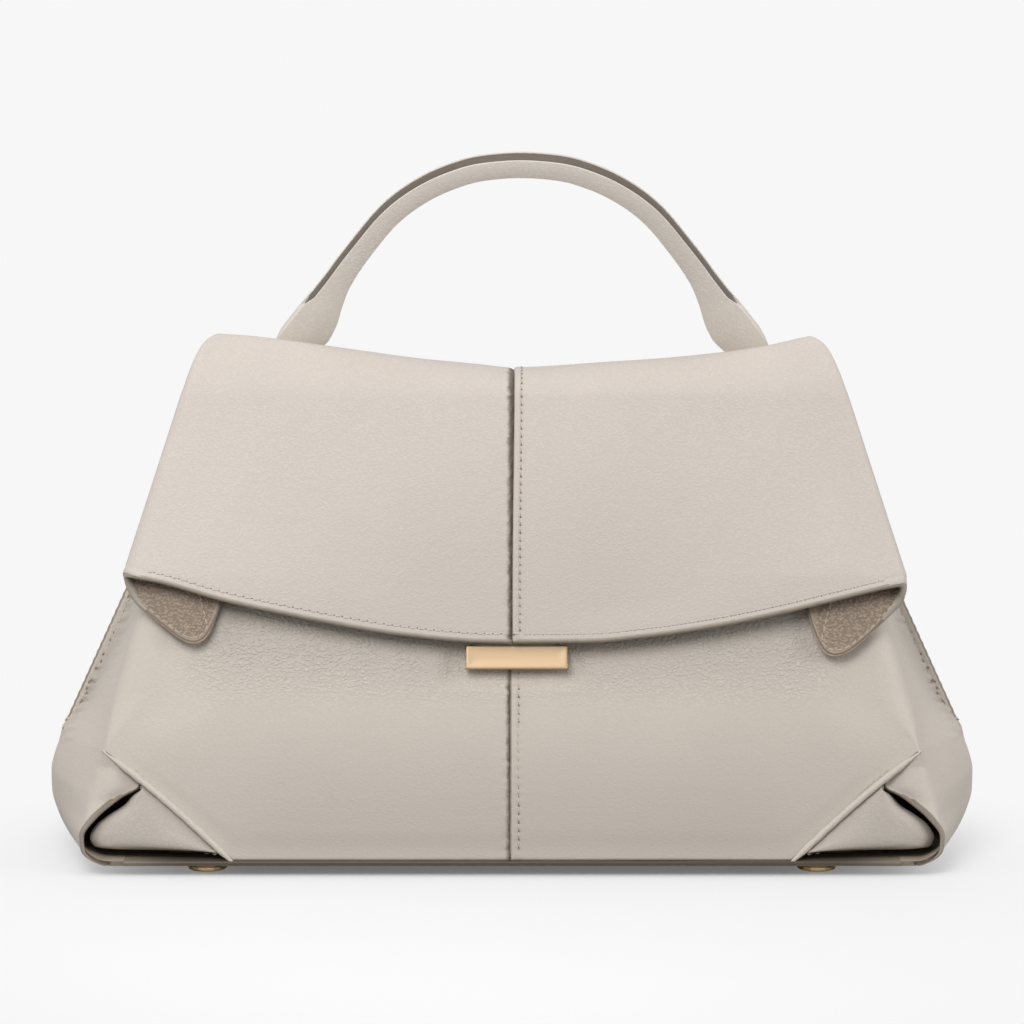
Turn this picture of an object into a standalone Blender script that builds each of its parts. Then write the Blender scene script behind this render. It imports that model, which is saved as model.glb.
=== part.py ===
"""Top handle bag with a fold-over flap, folded wings, tucked corners and a press lock.

Metres, +Z up, +X to the right, the front faces -Y. The origin lies on the ground under the
middle of the bag. Every soft panel is an open skin that is thickened inwards.
"""

import math

import bmesh
import bpy
from mathutils import Matrix, Vector

MM = 0.001
DEGREE = math.pi / 180.0

# Driving dimensions of the body
BAG_WIDTH = 363.2 * MM
BASE_DEPTH = 150.0 * MM
CREST_SPRING_HEIGHT = 176.0 * MM
CREST_HALF_DEPTH = 16.75 * MM
FOOT_HEIGHT = 4.0 * MM
BASE_THICKNESS = 1.8 * MM
MOUTH_DROP = 30.0 * MM
PANEL_SETBACK = 1.3 * MM
MOUTH_TUCK = 4.5 * MM
MOUTH_TUCK_REACH = 51.0 * MM
CORNER_HEIGHT = 44.7 * MM
FRONT_SEAM_X = -1.6 * MM
LEATHER = 1.6 * MM
GAP = 0.3 * MM

# Shares of the bag's half width: the soft crease and the side's middle at the corner and at the
# mouth, the crest, the flap, and the base seam
CREASE_LOW_SHARE = 0.852
CREASE_TOP_SHARE = 0.7687
GUSSET_LOW_SHARE = 0.952
GUSSET_TOP_SHARE = 0.6955
CREST_TOP_SHARE = 0.6388
FLAP_TOP_SHARE = 0.6955
FLAP_HEM_SHARE = 0.8177
BASE_SEAM_SHARE = 0.804

# Driving dimensions of the crest and the flap
CREST_MIDDLE_RISE = 10.0 * MM
CREST_CORNER_RISE = 22.0 * MM
CREST_BOARD = 0.8 * MM
CREST_BOARD_MARGIN = 4.0 * MM
CREST_BOARD_START = 12.0 * DEGREE
FLAP_SEAM_X = 0.8 * MM
FLAP_HEIGHT_SHARE = 0.504
FLAP_TOP_STAND = 1.65 * MM
FLAP_HEM_STAND = 9.27 * MM
HEM_CORNER_RISE = 23.4 * MM
HEM_CURVE_POWER = 1.75
FLAP_CORNER_SWELL = 3.5 * MM
FLAP_LEATHER = 1.4 * MM
FLAP_LINING = 0.9 * MM
FOLD_RADIUS_TOP = 3.0 * MM
FOLD_RADIUS_HEM = 5.2 * MM
WING_WIDTH_TOP = 4.0 * MM
WING_WIDTH_HEM = 38.5 * MM
WING_TIP_DROP = 4.7 * MM

# Driving dimensions of the handle
HANDLE_OFFSET_X = 3.5 * MM
HANDLE_HALF_SPAN = 93.0 * MM
HANDLE_RISE = 92.6 * MM
HANDLE_AXIS_RISE = 2.0 * MM
HANDLE_TOP_WIDTH = 8.4 * MM
HANDLE_LEAF_WIDTH = 17.0 * MM
HANDLE_SKIN = 1.6 * MM
HANDLE_CORE = 3.2 * MM
HANDLE_CORE_INSET = 0.35 * MM
HANDLE_EDGE_ROUND = 0.5 * MM
HANDLE_SEAT = 0.4 * MM
HANDLE_AXIS_CLEARANCE = 0.2 * MM
TAB_LENGTH = 34.0 * MM
TAB_END_THICKNESS = 2.6 * MM
PATCH_THICKNESS = 1.0 * MM
PATCH_MARGIN = 4.0 * MM
PATCH_LENGTH = 24.0 * MM

# Driving dimensions of the seams and corners
PINCH_WIDTH = 2.8 * MM
PINCH_HEIGHT = 2.6 * MM
PINCH_ROUND = 0.7 * MM
RIDGE_RADIUS = 1.0 * MM
RIDGE_FOOT_SHARE = 0.5947
CORNER_LEATHER = 1.4 * MM
CORNER_RECESS = 7.0 * MM
CORNER_FOOT_SHARE = 0.6443

# Driving dimensions of the inside
LINING_INSET = 4.4 * MM
LINING_THICKNESS = 0.8 * MM
LINING_FLOOR_MARGIN = 15.0 * MM
LINING_FLOOR_SHARE = 0.782
LINING_TOP_SHARE = 0.669
LINING_CORNER_LOW = 26.0 * MM
LINING_CORNER_TOP = 9.0 * MM
BOARD_SHARE = 0.76
BOARD_MARGIN = 13.0 * MM
BOARD_THICKNESS = 2.0 * MM
BOARD_CORNER = 14.0 * MM
FACING_THICKNESS = 0.9 * MM
FACING_SHARE = 0.639
POCKET_WIDTH = 150.0 * MM
POCKET_DEPTH = 64.0 * MM
POCKET_DROP = 34.0 * MM
POCKET_THICKNESS = 0.8 * MM
POCKET_STAND = 1.2 * MM

# Driving dimensions of the feet
FOOT_SHARE = 0.6388
FOOT_INSET = 15.0 * MM
FOOT_RADIUS = 7.4 * MM
FOOT_WAIST_RADIUS = 5.0 * MM
FOOT_FLANGE_RADIUS = 6.2 * MM
FOOT_RIM = 1.1 * MM
FOOT_CHAMFER = 0.4 * MM
SHANK_RADIUS = 1.5 * MM
NUT_RADIUS = 3.6 * MM
NUT_HEIGHT = 1.8 * MM

# Driving dimensions of the lock
LOCK_X = 1.8 * MM
LOCK_DROP = 8.85 * MM
BAR_WIDTH = 39.0 * MM
BAR_HEIGHT = 9.1 * MM
BAR_DEPTH = 3.4 * MM
BAR_STANDOFF = 1.5 * MM
BAR_WALL = 0.9 * MM
BAR_TRAVEL = 0.6 * MM
BAR_EDGE = 0.25 * MM
CASE_SLIDE_CLEARANCE = 0.5 * MM
CASE_HEAD_HEIGHT = 15.4 * MM
CASE_HEAD_WIDTH = 30.0 * MM
CASE_DEPTH = 2.4 * MM
CATCH_WIDTH = 8.0 * MM
CATCH_HEIGHT = 3.6 * MM
CATCH_DEPTH = 1.8 * MM
NOSE_CLEARANCE = 0.5 * MM
STRIKE_WIDTH = 24.0 * MM
STRIKE_HEIGHT = 6.0 * MM
STRIKE_THICKNESS = 1.0 * MM
SPRING_RADIUS = 1.7 * MM
SPRING_WIRE = 0.2 * MM
SPRING_TURNS = 4
SPRING_POCKET_DEPTH = 1.7 * MM
SCREW_RADIUS = 0.9 * MM
SCREW_HEAD_RADIUS = 1.9 * MM
SCREW_HEAD_HEIGHT = 0.5 * MM
SCREW_SPACING = 24.0 * MM
SCREW_REACH = 1.6 * MM
PLATE_WIDTH = 32.0 * MM
PLATE_HEIGHT = 8.0 * MM
PLATE_THICKNESS = 0.8 * MM

# Overrun of every cutter past the face that it opens
OVERRUN = 1.0 * MM

# Shares of the bag's half width and of the corner's height, down the wrap's free edge from the
# crease to the base seam, and down the wrap's own middle at the side
WRAP_EDGE_SHARES = ((0.858, 0.966), (0.824, 0.84), (0.789, 0.708), (0.828, 0.582), (0.871, 0.405),
                    (0.895, 0.256), (0.891, 0.165), (0.862, 0.052), (0.835, 0.0))
WRAP_MIDDLE_SHARES = ((0.9556, 0.966), (0.9685, 0.84), (0.988, 0.708), (1.0, 0.582), (0.998, 0.405),
                      (0.985, 0.246), (0.970, 0.135), (0.944, 0.03), (0.900, 0.0))
WRAP_ROUND_SHARES = (1.05, 1.25, 1.5, 1.75, 2.0, 2.1, 2.2, 2.3, 2.3)

# Shares of the wing's width and of its drop below the flap's corner, along the wing's lower edge
WING_HEM_SHARES = ((0.0, 1.0), (0.08, 0.74), (0.24, 0.42), (0.43, 0.23), (0.60, 0.07), (0.72, 0.0),
                   (0.84, 0.08), (0.93, 0.30), (1.0, 0.66))

# Shares of the handle's half span and rise, from the middle of the arch down to a foot
HANDLE_LINE_SHARES = ((0.0, 1.0), (0.16, 0.987), (0.31, 0.940), (0.435, 0.872), (0.545, 0.782),
                      (0.655, 0.645), (0.752, 0.505), (0.845, 0.335), (0.935, 0.165), (1.0, 0.0))
# Shares along that line, and shares from the top's width to the leaf's width
HANDLE_WIDTH_SHARES = ((0.0, 0.0), (0.35, 0.04), (0.5, 0.13), (0.6, 0.32), (0.68, 0.72), (0.75, 0.97),
                       (0.82, 1.0), (0.92, 0.88), (1.0, 0.71))

# Shares across the tucked corner, from the ridge out to its hidden edge, and its depth there
CORNER_SPREAD_SHARES = ((0.0, 0.16), (0.22, 0.03), (0.48, 0.02), (0.72, 0.12), (0.90, 0.38), (1.0, 1.0))
# Shares of the bag's half width and of the corner's height, round the corner's hidden edge
CORNER_EDGE_SHARES = ((0.778, 0.655), (0.806, 0.585), (0.832, 0.490), (0.856, 0.380), (0.872, 0.270),
                      (0.866, 0.190), (0.840, 0.160), (0.785, 0.157), (0.720, 0.157), (0.655, 0.157))

# Derived places
BASE_TOP = FOOT_HEIGHT + BASE_THICKNESS
HALF_WIDTH = BAG_WIDTH / 2
HALF_DEPTH = BASE_DEPTH / 2
FOOT_HALF_DEPTH = HALF_DEPTH - PANEL_SETBACK
LEAN_RATIO = (FOOT_HALF_DEPTH - CREST_HALF_DEPTH) / (CREST_SPRING_HEIGHT - BASE_TOP)
PANEL_LEAN = math.atan(LEAN_RATIO)
MOUTH_HEIGHT = CREST_SPRING_HEIGHT - MOUTH_DROP
MOUTH_TUCK_START = MOUTH_HEIGHT - MOUTH_TUCK_REACH
CREASE_LOW_HALF_WIDTH = CREASE_LOW_SHARE * HALF_WIDTH
CREASE_TOP_HALF_WIDTH = CREASE_TOP_SHARE * HALF_WIDTH
GUSSET_LOW_HALF_WIDTH = GUSSET_LOW_SHARE * HALF_WIDTH
GUSSET_TOP_HALF_WIDTH = GUSSET_TOP_SHARE * HALF_WIDTH
BASE_SEAM_X = BASE_SEAM_SHARE * HALF_WIDTH
CORNER_SPAN = CORNER_HEIGHT - FOOT_HEIGHT
PANEL_FOOT = BASE_TOP + LEATHER * math.sin(PANEL_LEAN) + GAP
RIDGE_FOOT_X = RIDGE_FOOT_SHARE * HALF_WIDTH
RIDGE_FOOT_Z = BASE_TOP + RIDGE_RADIUS + GAP
CORNER_FOOT_X = CORNER_FOOT_SHARE * HALF_WIDTH
CREST_TOP_HALF_WIDTH = CREST_TOP_SHARE * HALF_WIDTH
CREST_MIDDLE_HEIGHT = CREST_SPRING_HEIGHT + CREST_MIDDLE_RISE
CREST_CORNER_HEIGHT = CREST_SPRING_HEIGHT + CREST_CORNER_RISE
FLAP_TOP_HALF_WIDTH = FLAP_TOP_SHARE * HALF_WIDTH
FLAP_HEM_HALF_WIDTH = FLAP_HEM_SHARE * HALF_WIDTH
FLAP_HEIGHT = FLAP_HEIGHT_SHARE * CREST_SPRING_HEIGHT
HEM_MIDDLE_HEIGHT = CREST_SPRING_HEIGHT - FLAP_HEIGHT
HEM_CORNER_HEIGHT = HEM_MIDDLE_HEIGHT + HEM_CORNER_RISE
WING_TIP_HEIGHT = HEM_MIDDLE_HEIGHT - WING_TIP_DROP
FLAP_SIDE_HEIGHT = CREST_SPRING_HEIGHT - HEM_CORNER_HEIGHT
FLAP_TOP_OUT = CREST_HALF_DEPTH + FLAP_TOP_STAND
FLAP_SLOPE = LEAN_RATIO + (FLAP_HEM_STAND - FLAP_TOP_STAND) / FLAP_HEIGHT
FLAP_LEAN = math.atan(FLAP_SLOPE)
FLAP_STACK = FLAP_LEATHER + GAP + FLAP_LINING
HANDLE_AXIS_HEIGHT = CREST_SPRING_HEIGHT + HANDLE_AXIS_RISE
BOARD_HALF_WIDTH = BOARD_SHARE * HALF_WIDTH
BOARD_HALF_DEPTH = HALF_DEPTH - BOARD_MARGIN
BOARD_BOTTOM = BASE_TOP + GAP
BOARD_TOP = BOARD_BOTTOM + BOARD_THICKNESS
NUT_BOTTOM = BOARD_TOP + GAP
LINING_FLOOR = NUT_BOTTOM + NUT_HEIGHT + GAP
LINING_FLOOR_DEPTH = HALF_DEPTH - LINING_FLOOR_MARGIN
LINING_FLOOR_HALF_WIDTH = LINING_FLOOR_SHARE * HALF_WIDTH
LINING_TOP_HALF_WIDTH = LINING_TOP_SHARE * HALF_WIDTH
FACING_HALF_WIDTH = FACING_SHARE * HALF_WIDTH
POCKET_TOP_HEIGHT = MOUTH_HEIGHT - POCKET_DROP
POCKET_FOOT_HEIGHT = POCKET_TOP_HEIGHT - POCKET_DEPTH
FOOT_X = FOOT_SHARE * HALF_WIDTH
FOOT_Y = HALF_DEPTH - FOOT_INSET
LOCK_HEIGHT = HEM_MIDDLE_HEIGHT - LOCK_DROP
INSIDE_POINT = Vector((0.0, 0.0, MOUTH_HEIGHT / 2))

# Colours, roughness and metallic value of each kind of material
LEATHER_LOOK = ((0.60, 0.55, 0.49), 0.55, 0.0)
LEATHER_FOLD_LOOK = ((0.56, 0.51, 0.45), 0.60, 0.0)
LINING_LOOK = ((0.42, 0.37, 0.31), 0.75, 0.0)
EDGE_LOOK = ((0.28, 0.24, 0.19), 0.50, 0.0)
BOARD_LOOK = ((0.20, 0.16, 0.12), 0.85, 0.0)
GOLD_LOOK = ((0.83, 0.65, 0.40), 0.28, 1.0)
STEEL_LOOK = ((0.55, 0.55, 0.54), 0.35, 1.0)

# Mesh counts
PANEL_COLUMNS = 8
PANEL_ROWS = 7
GUSSET_ROWS = 6
WRAP_COLUMNS = 7
FLAP_COLUMNS = 8
FLAP_ROWS = 7
FOLD_STEPS = 5
WING_COLUMNS = 7
CREST_COLUMNS = 8
CREST_STEPS = 8
TURN_STEPS = 16
CORNER_ARC_STEPS = 5
HANDLE_LINE_PARTS = 2
SPRING_POINTS_PER_TURN = 10
SHARP_ANGLE = 40.0 * DEGREE


def clear_scene():
    """Remove whatever the file opened with."""
    for obj in list(bpy.data.objects):
        bpy.data.objects.remove(obj, do_unlink=True)


def new_collection(name):
    """Make a collection that hangs from the scene."""
    collection = bpy.data.collections.new(name)
    bpy.context.scene.collection.children.link(collection)
    return collection


clear_scene()
PARTS = new_collection("top_handle_bag")
CUTTERS = new_collection("cutters")


def dress(obj, look):
    """Give an object its own material."""
    colour, roughness, metallic = look
    material = bpy.data.materials.new(obj.name + "_finish")
    material.use_nodes = True
    shader = material.node_tree.nodes["Principled BSDF"]
    shader.inputs["Base Color"].default_value = (*colour, 1.0)
    shader.inputs["Roughness"].default_value = roughness
    shader.inputs["Metallic"].default_value = metallic
    obj.data.materials.clear()
    obj.data.materials.append(material)


def add_part(name, data, look):
    """Link mesh or curve data as a named sub-part."""
    obj = bpy.data.objects.new(name, data)
    PARTS.objects.link(obj)
    dress(obj, look)
    return obj


def smooth(mesh):
    """Shade a mesh smooth but keep its real edges."""
    mesh.shade_smooth()
    mesh.set_sharp_from_angle(angle=SHARP_ANGLE)


def skin_mesh(name, rows, closed=False, cap_first=False):
    """Stretch quads over rows of points, facing away from the inside of the bag."""
    mesh = bpy.data.meshes.new(name)
    bm = bmesh.new()
    lattice = [[bm.verts.new(point) for point in row] for row in rows]
    columns = len(rows[0])
    for lower, upper in zip(lattice, lattice[1:]):
        for index in range(columns if closed else columns - 1):
            follower = (index + 1) % columns
            bm.faces.new((lower[index], lower[follower], upper[follower], upper[index]))
    if cap_first:
        bm.faces.new(reversed(lattice[0]))
    bm.normal_update()
    outward = sum((face.calc_center_median() - INSIDE_POINT).dot(face.normal) * face.calc_area()
                  for face in bm.faces)
    if outward < 0:
        bmesh.ops.reverse_faces(bm, faces=bm.faces)
    bm.to_mesh(mesh)
    bm.free()
    return mesh


def skin(name, rows, thickness, look, closed=False, cap_first=False):
    """A soft panel: an open skin thickened towards the inside of the bag."""
    mesh = skin_mesh(name, rows, closed, cap_first)
    obj = add_part(name, mesh, look)
    shell = obj.modifiers.new("thickness", "SOLIDIFY")
    shell.thickness = thickness
    shell.offset = -1.0
    shell.use_even_offset = True
    smooth(mesh)
    return obj


def ring_solid(name, rings, look):
    """A closed solid lofted through rings of points, with both ends capped."""
    mesh = bpy.data.meshes.new(name)
    bm = bmesh.new()
    lattice = [[bm.verts.new(point) for point in ring] for ring in rings]
    count = len(rings[0])
    for lower, upper in zip(lattice, lattice[1:]):
        for index in range(count):
            follower = (index + 1) % count
            bm.faces.new((lower[index], lower[follower], upper[follower], upper[index]))
    bm.faces.new(lattice[0])
    bm.faces.new(lattice[-1])
    bmesh.ops.recalc_face_normals(bm, faces=bm.faces)
    bm.to_mesh(mesh)
    bm.free()
    smooth(mesh)
    return add_part(name, mesh, look)


def block_mesh(name, size):
    """A box mesh centred on its own origin."""
    mesh = bpy.data.meshes.new(name)
    bm = bmesh.new()
    bmesh.ops.create_cube(bm, size=1.0)
    bmesh.ops.scale(bm, vec=Vector(size), verts=bm.verts)
    bm.to_mesh(mesh)
    bm.free()
    return mesh


def rod_mesh(name, radius, length):
    """A round rod mesh along Y, centred on its own origin."""
    mesh = bpy.data.meshes.new(name)
    bm = bmesh.new()
    bmesh.ops.create_cone(bm, cap_ends=True, segments=TURN_STEPS, radius1=radius, radius2=radius,
                          depth=length, matrix=Matrix.Rotation(math.pi / 2, 4, "X"))
    bm.to_mesh(mesh)
    bm.free()
    smooth(mesh)
    return mesh


def place(obj, parent, location):
    """Set a piece at a place in its parent's frame."""
    obj.parent = parent
    obj.location = location
    return obj


def add_bevel(obj, width, segments=1):
    """Round an object's sharp edges."""
    bevel = obj.modifiers.new("edges", "BEVEL")
    bevel.width = width
    bevel.segments = segments
    bevel.limit_method = "ANGLE"


def add_cutter(name, mesh, parent, location):
    """A hidden shape that opens or extends another piece."""
    cutter = bpy.data.objects.new(name, mesh)
    CUTTERS.objects.link(cutter)
    cutter.hide_render = True
    cutter.display_type = "WIRE"
    return place(cutter, parent, location)


def apply_shape(obj, cutter, operation="DIFFERENCE"):
    """Cut a hidden shape out of an object, or join it on."""
    boolean = obj.modifiers.new(cutter.name, "BOOLEAN")
    boolean.operation = operation
    boolean.solver = "EXACT"
    boolean.object = cutter


def add_frame(name, location, tilt):
    """An empty that carries pieces in its own tilted frame."""
    frame = bpy.data.objects.new(name, None)
    PARTS.objects.link(frame)
    frame.location = location
    frame.rotation_euler = (tilt, 0.0, 0.0)
    return frame


def move_origin(obj, point):
    """Move an object's origin to a point and leave its shape where it is."""
    obj.data.transform(Matrix.Translation(-Vector(point)))
    obj.location = point


def turned(name, profile, look, location):
    """A turned piece: its profile runs down the outer side and is screwed round Z."""
    mesh = bpy.data.meshes.new(name)
    bm = bmesh.new()
    verts = [bm.verts.new((radius, 0.0, height)) for radius, height in profile]
    for upper, lower in zip(verts, verts[1:]):
        bm.edges.new((upper, lower))
    if profile[0][0] > 0:
        bm.edges.new((verts[-1], verts[0]))
    bm.to_mesh(mesh)
    bm.free()
    obj = add_part(name, mesh, look)
    screw = obj.modifiers.new("turn", "SCREW")
    screw.steps = TURN_STEPS
    screw.render_steps = TURN_STEPS
    screw.use_merge_vertices = True
    screw.merge_threshold = GAP / TURN_STEPS
    screw.use_smooth_shade = False
    obj.location = location
    return obj


def blend(start, end, share):
    """The value at a share of the way between two values."""
    return start + (end - start) * share


def read_shares(table, share):
    """The second value of a table of shares at a place between its rows."""
    for (left, first), (right, second) in zip(table, table[1:]):
        if share <= right:
            return blend(first, second, (share - left) / (right - left))
    return table[-1][1]


def side_name(side):
    """The word for a side."""
    return "right" if side > 0 else "left"


def panel_depth(z):
    """Half depth of the body's flat faces at a height."""
    return FOOT_HALF_DEPTH - LEAN_RATIO * (z - BASE_TOP)


def front_y(z):
    """Outer face of the front panel at a height, tucked back towards the mouth."""
    tuck_share = max(0.0, z - MOUTH_TUCK_START) / (MOUTH_HEIGHT - MOUTH_TUCK_START)
    return -panel_depth(z) + MOUTH_TUCK * tuck_share ** 2


def height_share(z):
    """Share of the way from the corner's height up to the mouth."""
    return (z - CORNER_HEIGHT) / (MOUTH_HEIGHT - CORNER_HEIGHT)


def crease_x(z):
    """Half width at the soft crease between a flat face and the side."""
    return blend(CREASE_LOW_HALF_WIDTH, CREASE_TOP_HALF_WIDTH, height_share(z))


def gusset_x(z):
    """Half width at the root of the pinched side seam."""
    return blend(GUSSET_LOW_HALF_WIDTH, GUSSET_TOP_HALF_WIDTH, height_share(z))


def ridge_slope():
    """Rise of the diagonal corner ridge for each length across."""
    return (CORNER_HEIGHT - RIDGE_FOOT_Z) / (CREASE_LOW_HALF_WIDTH - RIDGE_FOOT_X)


def ridge_z(x):
    """Height of the diagonal corner ridge at a half width."""
    return RIDGE_FOOT_Z + ridge_slope() * (x - RIDGE_FOOT_X)


def ridge_clearance():
    """Vertical room that a panel's edge leaves to the middle of the ridge."""
    return (RIDGE_RADIUS + GAP) * math.hypot(1.0, ridge_slope())


def gusset_fold(z):
    """How far the gusset runs inwards for each length towards the middle of the side."""
    return (crease_x(z) - gusset_x(z)) / -front_y(z)


def crease_inset(z):
    """Room that the side wrap's thickness takes from a flat face at the crease."""
    inward = gusset_fold(z)
    overlap = math.hypot(1.0, inward) + max(0.0, inward) / math.cos(PANEL_LEAN)
    return LEATHER * overlap + 2 * GAP


def panel_edge_x(z):
    """Half width of a flat face inside its crease, drawn in above the mouth to meet the crest."""
    above_share = max(0.0, z - MOUTH_HEIGHT) / (CREST_SPRING_HEIGHT - MOUTH_HEIGHT)
    side_z = min(z, MOUTH_HEIGHT)
    return blend(crease_x(side_z) - crease_inset(side_z), FLAP_TOP_HALF_WIDTH, above_share)


def body_panel(name, side, seam_x, y_of_z, top):
    """Half of the front or back face, from the middle seam to the crease."""
    columns = []
    for index in range(PANEL_COLUMNS + 1):
        across = index / PANEL_COLUMNS
        foot_x = blend(seam_x + side * GAP / 2, side * panel_edge_x(CORNER_HEIGHT), across)
        foot_z = max(PANEL_FOOT, ridge_z(abs(foot_x)) + ridge_clearance())
        column = []
        for step in range(PANEL_ROWS + 1):
            z = blend(foot_z, top, step / PANEL_ROWS)
            narrowing = panel_edge_x(z) - panel_edge_x(foot_z)
            column.append((foot_x + side * across * narrowing, y_of_z(z), z))
        columns.append(column)
    return skin(name + "_" + side_name(side), columns, LEATHER, LEATHER_LOOK)


def body_panels():
    """The halves of the front face, and those of the back face, which reach up to the crest."""
    for side in (-1, 1):
        body_panel("front_panel", side, FRONT_SEAM_X, front_y, MOUTH_HEIGHT)
        body_panel("back_panel", side, FLAP_SEAM_X, panel_depth, CREST_SPRING_HEIGHT - GAP / 2)


def wrap_row(side, edge, middle, depths, roundness):
    """One row of points round the side, from the front edge over the middle to the back edge."""
    row = []
    for column in range(2 * WRAP_COLUMNS + 1):
        angle = math.pi / 2 * min(column, 2 * WRAP_COLUMNS - column) / WRAP_COLUMNS
        inward = max(0.0, math.cos(angle)) ** (2 / roundness)
        outward = max(0.0, math.sin(angle)) ** (2 / roundness)
        depth = depths[0] if column < WRAP_COLUMNS else depths[1]
        if column == WRAP_COLUMNS:
            inward = 0.0
        x = blend(edge[0], middle[0], outward)
        z = blend(edge[1], middle[1], outward)
        row.append((side * x, depth * inward, z))
    return row


def side_wrap(side):
    """The side: a gusset above, opening to a smooth round that wraps down to the base."""
    rows = []
    for step in range(GUSSET_ROWS + 1):
        z = blend(MOUTH_HEIGHT, CORNER_HEIGHT, step / GUSSET_ROWS)
        rows.append(wrap_row(side, (crease_x(z), z), (gusset_x(z), z), (front_y(z), panel_depth(z)), 1.0))
    for edge, middle, roundness in zip(WRAP_EDGE_SHARES, WRAP_MIDDLE_SHARES, WRAP_ROUND_SHARES):
        edge_point = (edge[0] * HALF_WIDTH, FOOT_HEIGHT + edge[1] * CORNER_SPAN)
        middle_point = (middle[0] * HALF_WIDTH, FOOT_HEIGHT + middle[1] * CORNER_SPAN)
        depth = min(panel_depth(edge_point[1]), HALF_DEPTH)
        rows.append(wrap_row(side, edge_point, middle_point, (-depth, depth), roundness))
    seam = (BASE_SEAM_X + GAP / 2, FOOT_HEIGHT)
    rows.append([(side * seam[0], point[1], seam[1]) for point in rows[-1]])
    return skin("side_wrap_" + side_name(side), rows, LEATHER, LEATHER_LOOK)


def side_seam(side):
    """The pinched and stitched edge that runs down the middle of the side."""
    rings = []
    stitch_end = FOOT_HEIGHT + WRAP_MIDDLE_SHARES[1][1] * CORNER_SPAN
    top = MOUTH_HEIGHT - PINCH_WIDTH
    for step in range(GUSSET_ROWS + 1):
        z = blend(top, stitch_end + PINCH_HEIGHT / 2, step / GUSSET_ROWS)
        root = gusset_x(z) + GAP + max(0.0, gusset_fold(z)) * PINCH_WIDTH / 2
        tip = root + PINCH_HEIGHT
        corners = ((root, -PINCH_WIDTH / 2), (tip, -PINCH_WIDTH / 2), (tip, PINCH_WIDTH / 2),
                   (root, PINCH_WIDTH / 2))
        rings.append([(side * x, y, z) for x, y in corners])
    obj = ring_solid("side_seam_" + side_name(side), rings, LEATHER_FOLD_LOOK)
    add_bevel(obj, PINCH_ROUND, 2)
    return obj


def face_point(side, facing, x, z, recess):
    """A point on the front or back face, sunk by a recess."""
    return (side * x, facing * (panel_depth(z) - recess), z)


def corner_name(kind, side, facing):
    """The name of a piece that repeats at the four lower corners."""
    return "_".join((kind, "back" if facing > 0 else "front", side_name(side)))


def corner_seam(side, facing):
    """The pinched diagonal ridge between a face and its tucked corner."""
    curve = bpy.data.curves.new(corner_name("corner_seam", side, facing), "CURVE")
    curve.dimensions = "3D"
    curve.bevel_depth = RIDGE_RADIUS
    curve.bevel_resolution = 2
    curve.use_fill_caps = True
    tip_x = CREASE_LOW_HALF_WIDTH - 2 * LEATHER
    spline = curve.splines.new("POLY")
    spline.points.add(PANEL_ROWS)
    for index, point in enumerate(spline.points):
        x = blend(RIDGE_FOOT_X, tip_x, index / PANEL_ROWS)
        point.co = (*face_point(side, facing, x, ridge_z(x), 0.0), 1.0)
    return add_part(curve.name, curve, LEATHER_FOLD_LOOK)


def corner_fold(side, facing):
    """The puffed leather corner that is tucked in behind the wrap's free edge."""
    edge = [(x_share * HALF_WIDTH, FOOT_HEIGHT + z_share * CORNER_SPAN) for x_share, z_share in
            CORNER_EDGE_SHARES]
    top_x = edge[0][0] - RIDGE_RADIUS
    rows = []
    for spread, depth_share in CORNER_SPREAD_SHARES:
        row = []
        for index, (edge_x, edge_z) in enumerate(edge):
            along = index / (len(edge) - 1)
            ridge_x = blend(top_x, CORNER_FOOT_X, along)
            line_z = ridge_z(ridge_x) - ridge_clearance()
            x = blend(ridge_x, edge_x, spread)
            z = blend(line_z, edge_z, spread)
            row.append(face_point(side, facing, x, z, CORNER_RECESS * depth_share))
        rows.append(row)
    return skin(corner_name("corner_fold", side, facing), rows, CORNER_LEATHER, LEATHER_FOLD_LOOK)


def foot_places():
    """The four places of the feet."""
    return [(side, facing, side * FOOT_X, facing * FOOT_Y) for facing in (-1, 1) for side in (-1, 1)]


def drill_for_feet(obj, height):
    """Open a hole for each foot's shank."""
    for side, facing, x, y in foot_places():
        mesh = bpy.data.meshes.new(obj.name + "_hole")
        bm = bmesh.new()
        bmesh.ops.create_cone(bm, cap_ends=True, segments=TURN_STEPS, radius1=SHANK_RADIUS + GAP,
                              radius2=SHANK_RADIUS + GAP, depth=height + 2 * OVERRUN)
        bm.to_mesh(mesh)
        bm.free()
        name = corner_name(obj.name + "_hole", side, facing)
        apply_shape(obj, add_cutter(name, mesh, None, (x, y, obj.location.z)))


def base_panel():
    """The leather base strip between the two side wraps."""
    width = 2 * (BASE_SEAM_X - GAP / 2)
    size = (width, BASE_DEPTH, BASE_THICKNESS)
    obj = add_part("base_panel", block_mesh("base_panel", size), LEATHER_LOOK)
    obj.location = (0.0, 0.0, FOOT_HEIGHT + BASE_THICKNESS / 2)
    drill_for_feet(obj, BASE_THICKNESS)
    return obj


def rounded_outline(half_x, front, back, radius):
    """Points round a rectangle with round corners."""
    points = []
    corners = ((half_x - radius, back - radius, 0), (radius - half_x, back - radius, 1),
               (radius - half_x, front + radius, 2), (half_x - radius, front + radius, 3))
    for x, y, quarter in corners:
        for step in range(CORNER_ARC_STEPS + 1):
            angle = math.pi / 2 * (quarter + step / CORNER_ARC_STEPS)
            points.append((x + radius * math.cos(angle), y + radius * math.sin(angle)))
    return points


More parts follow.
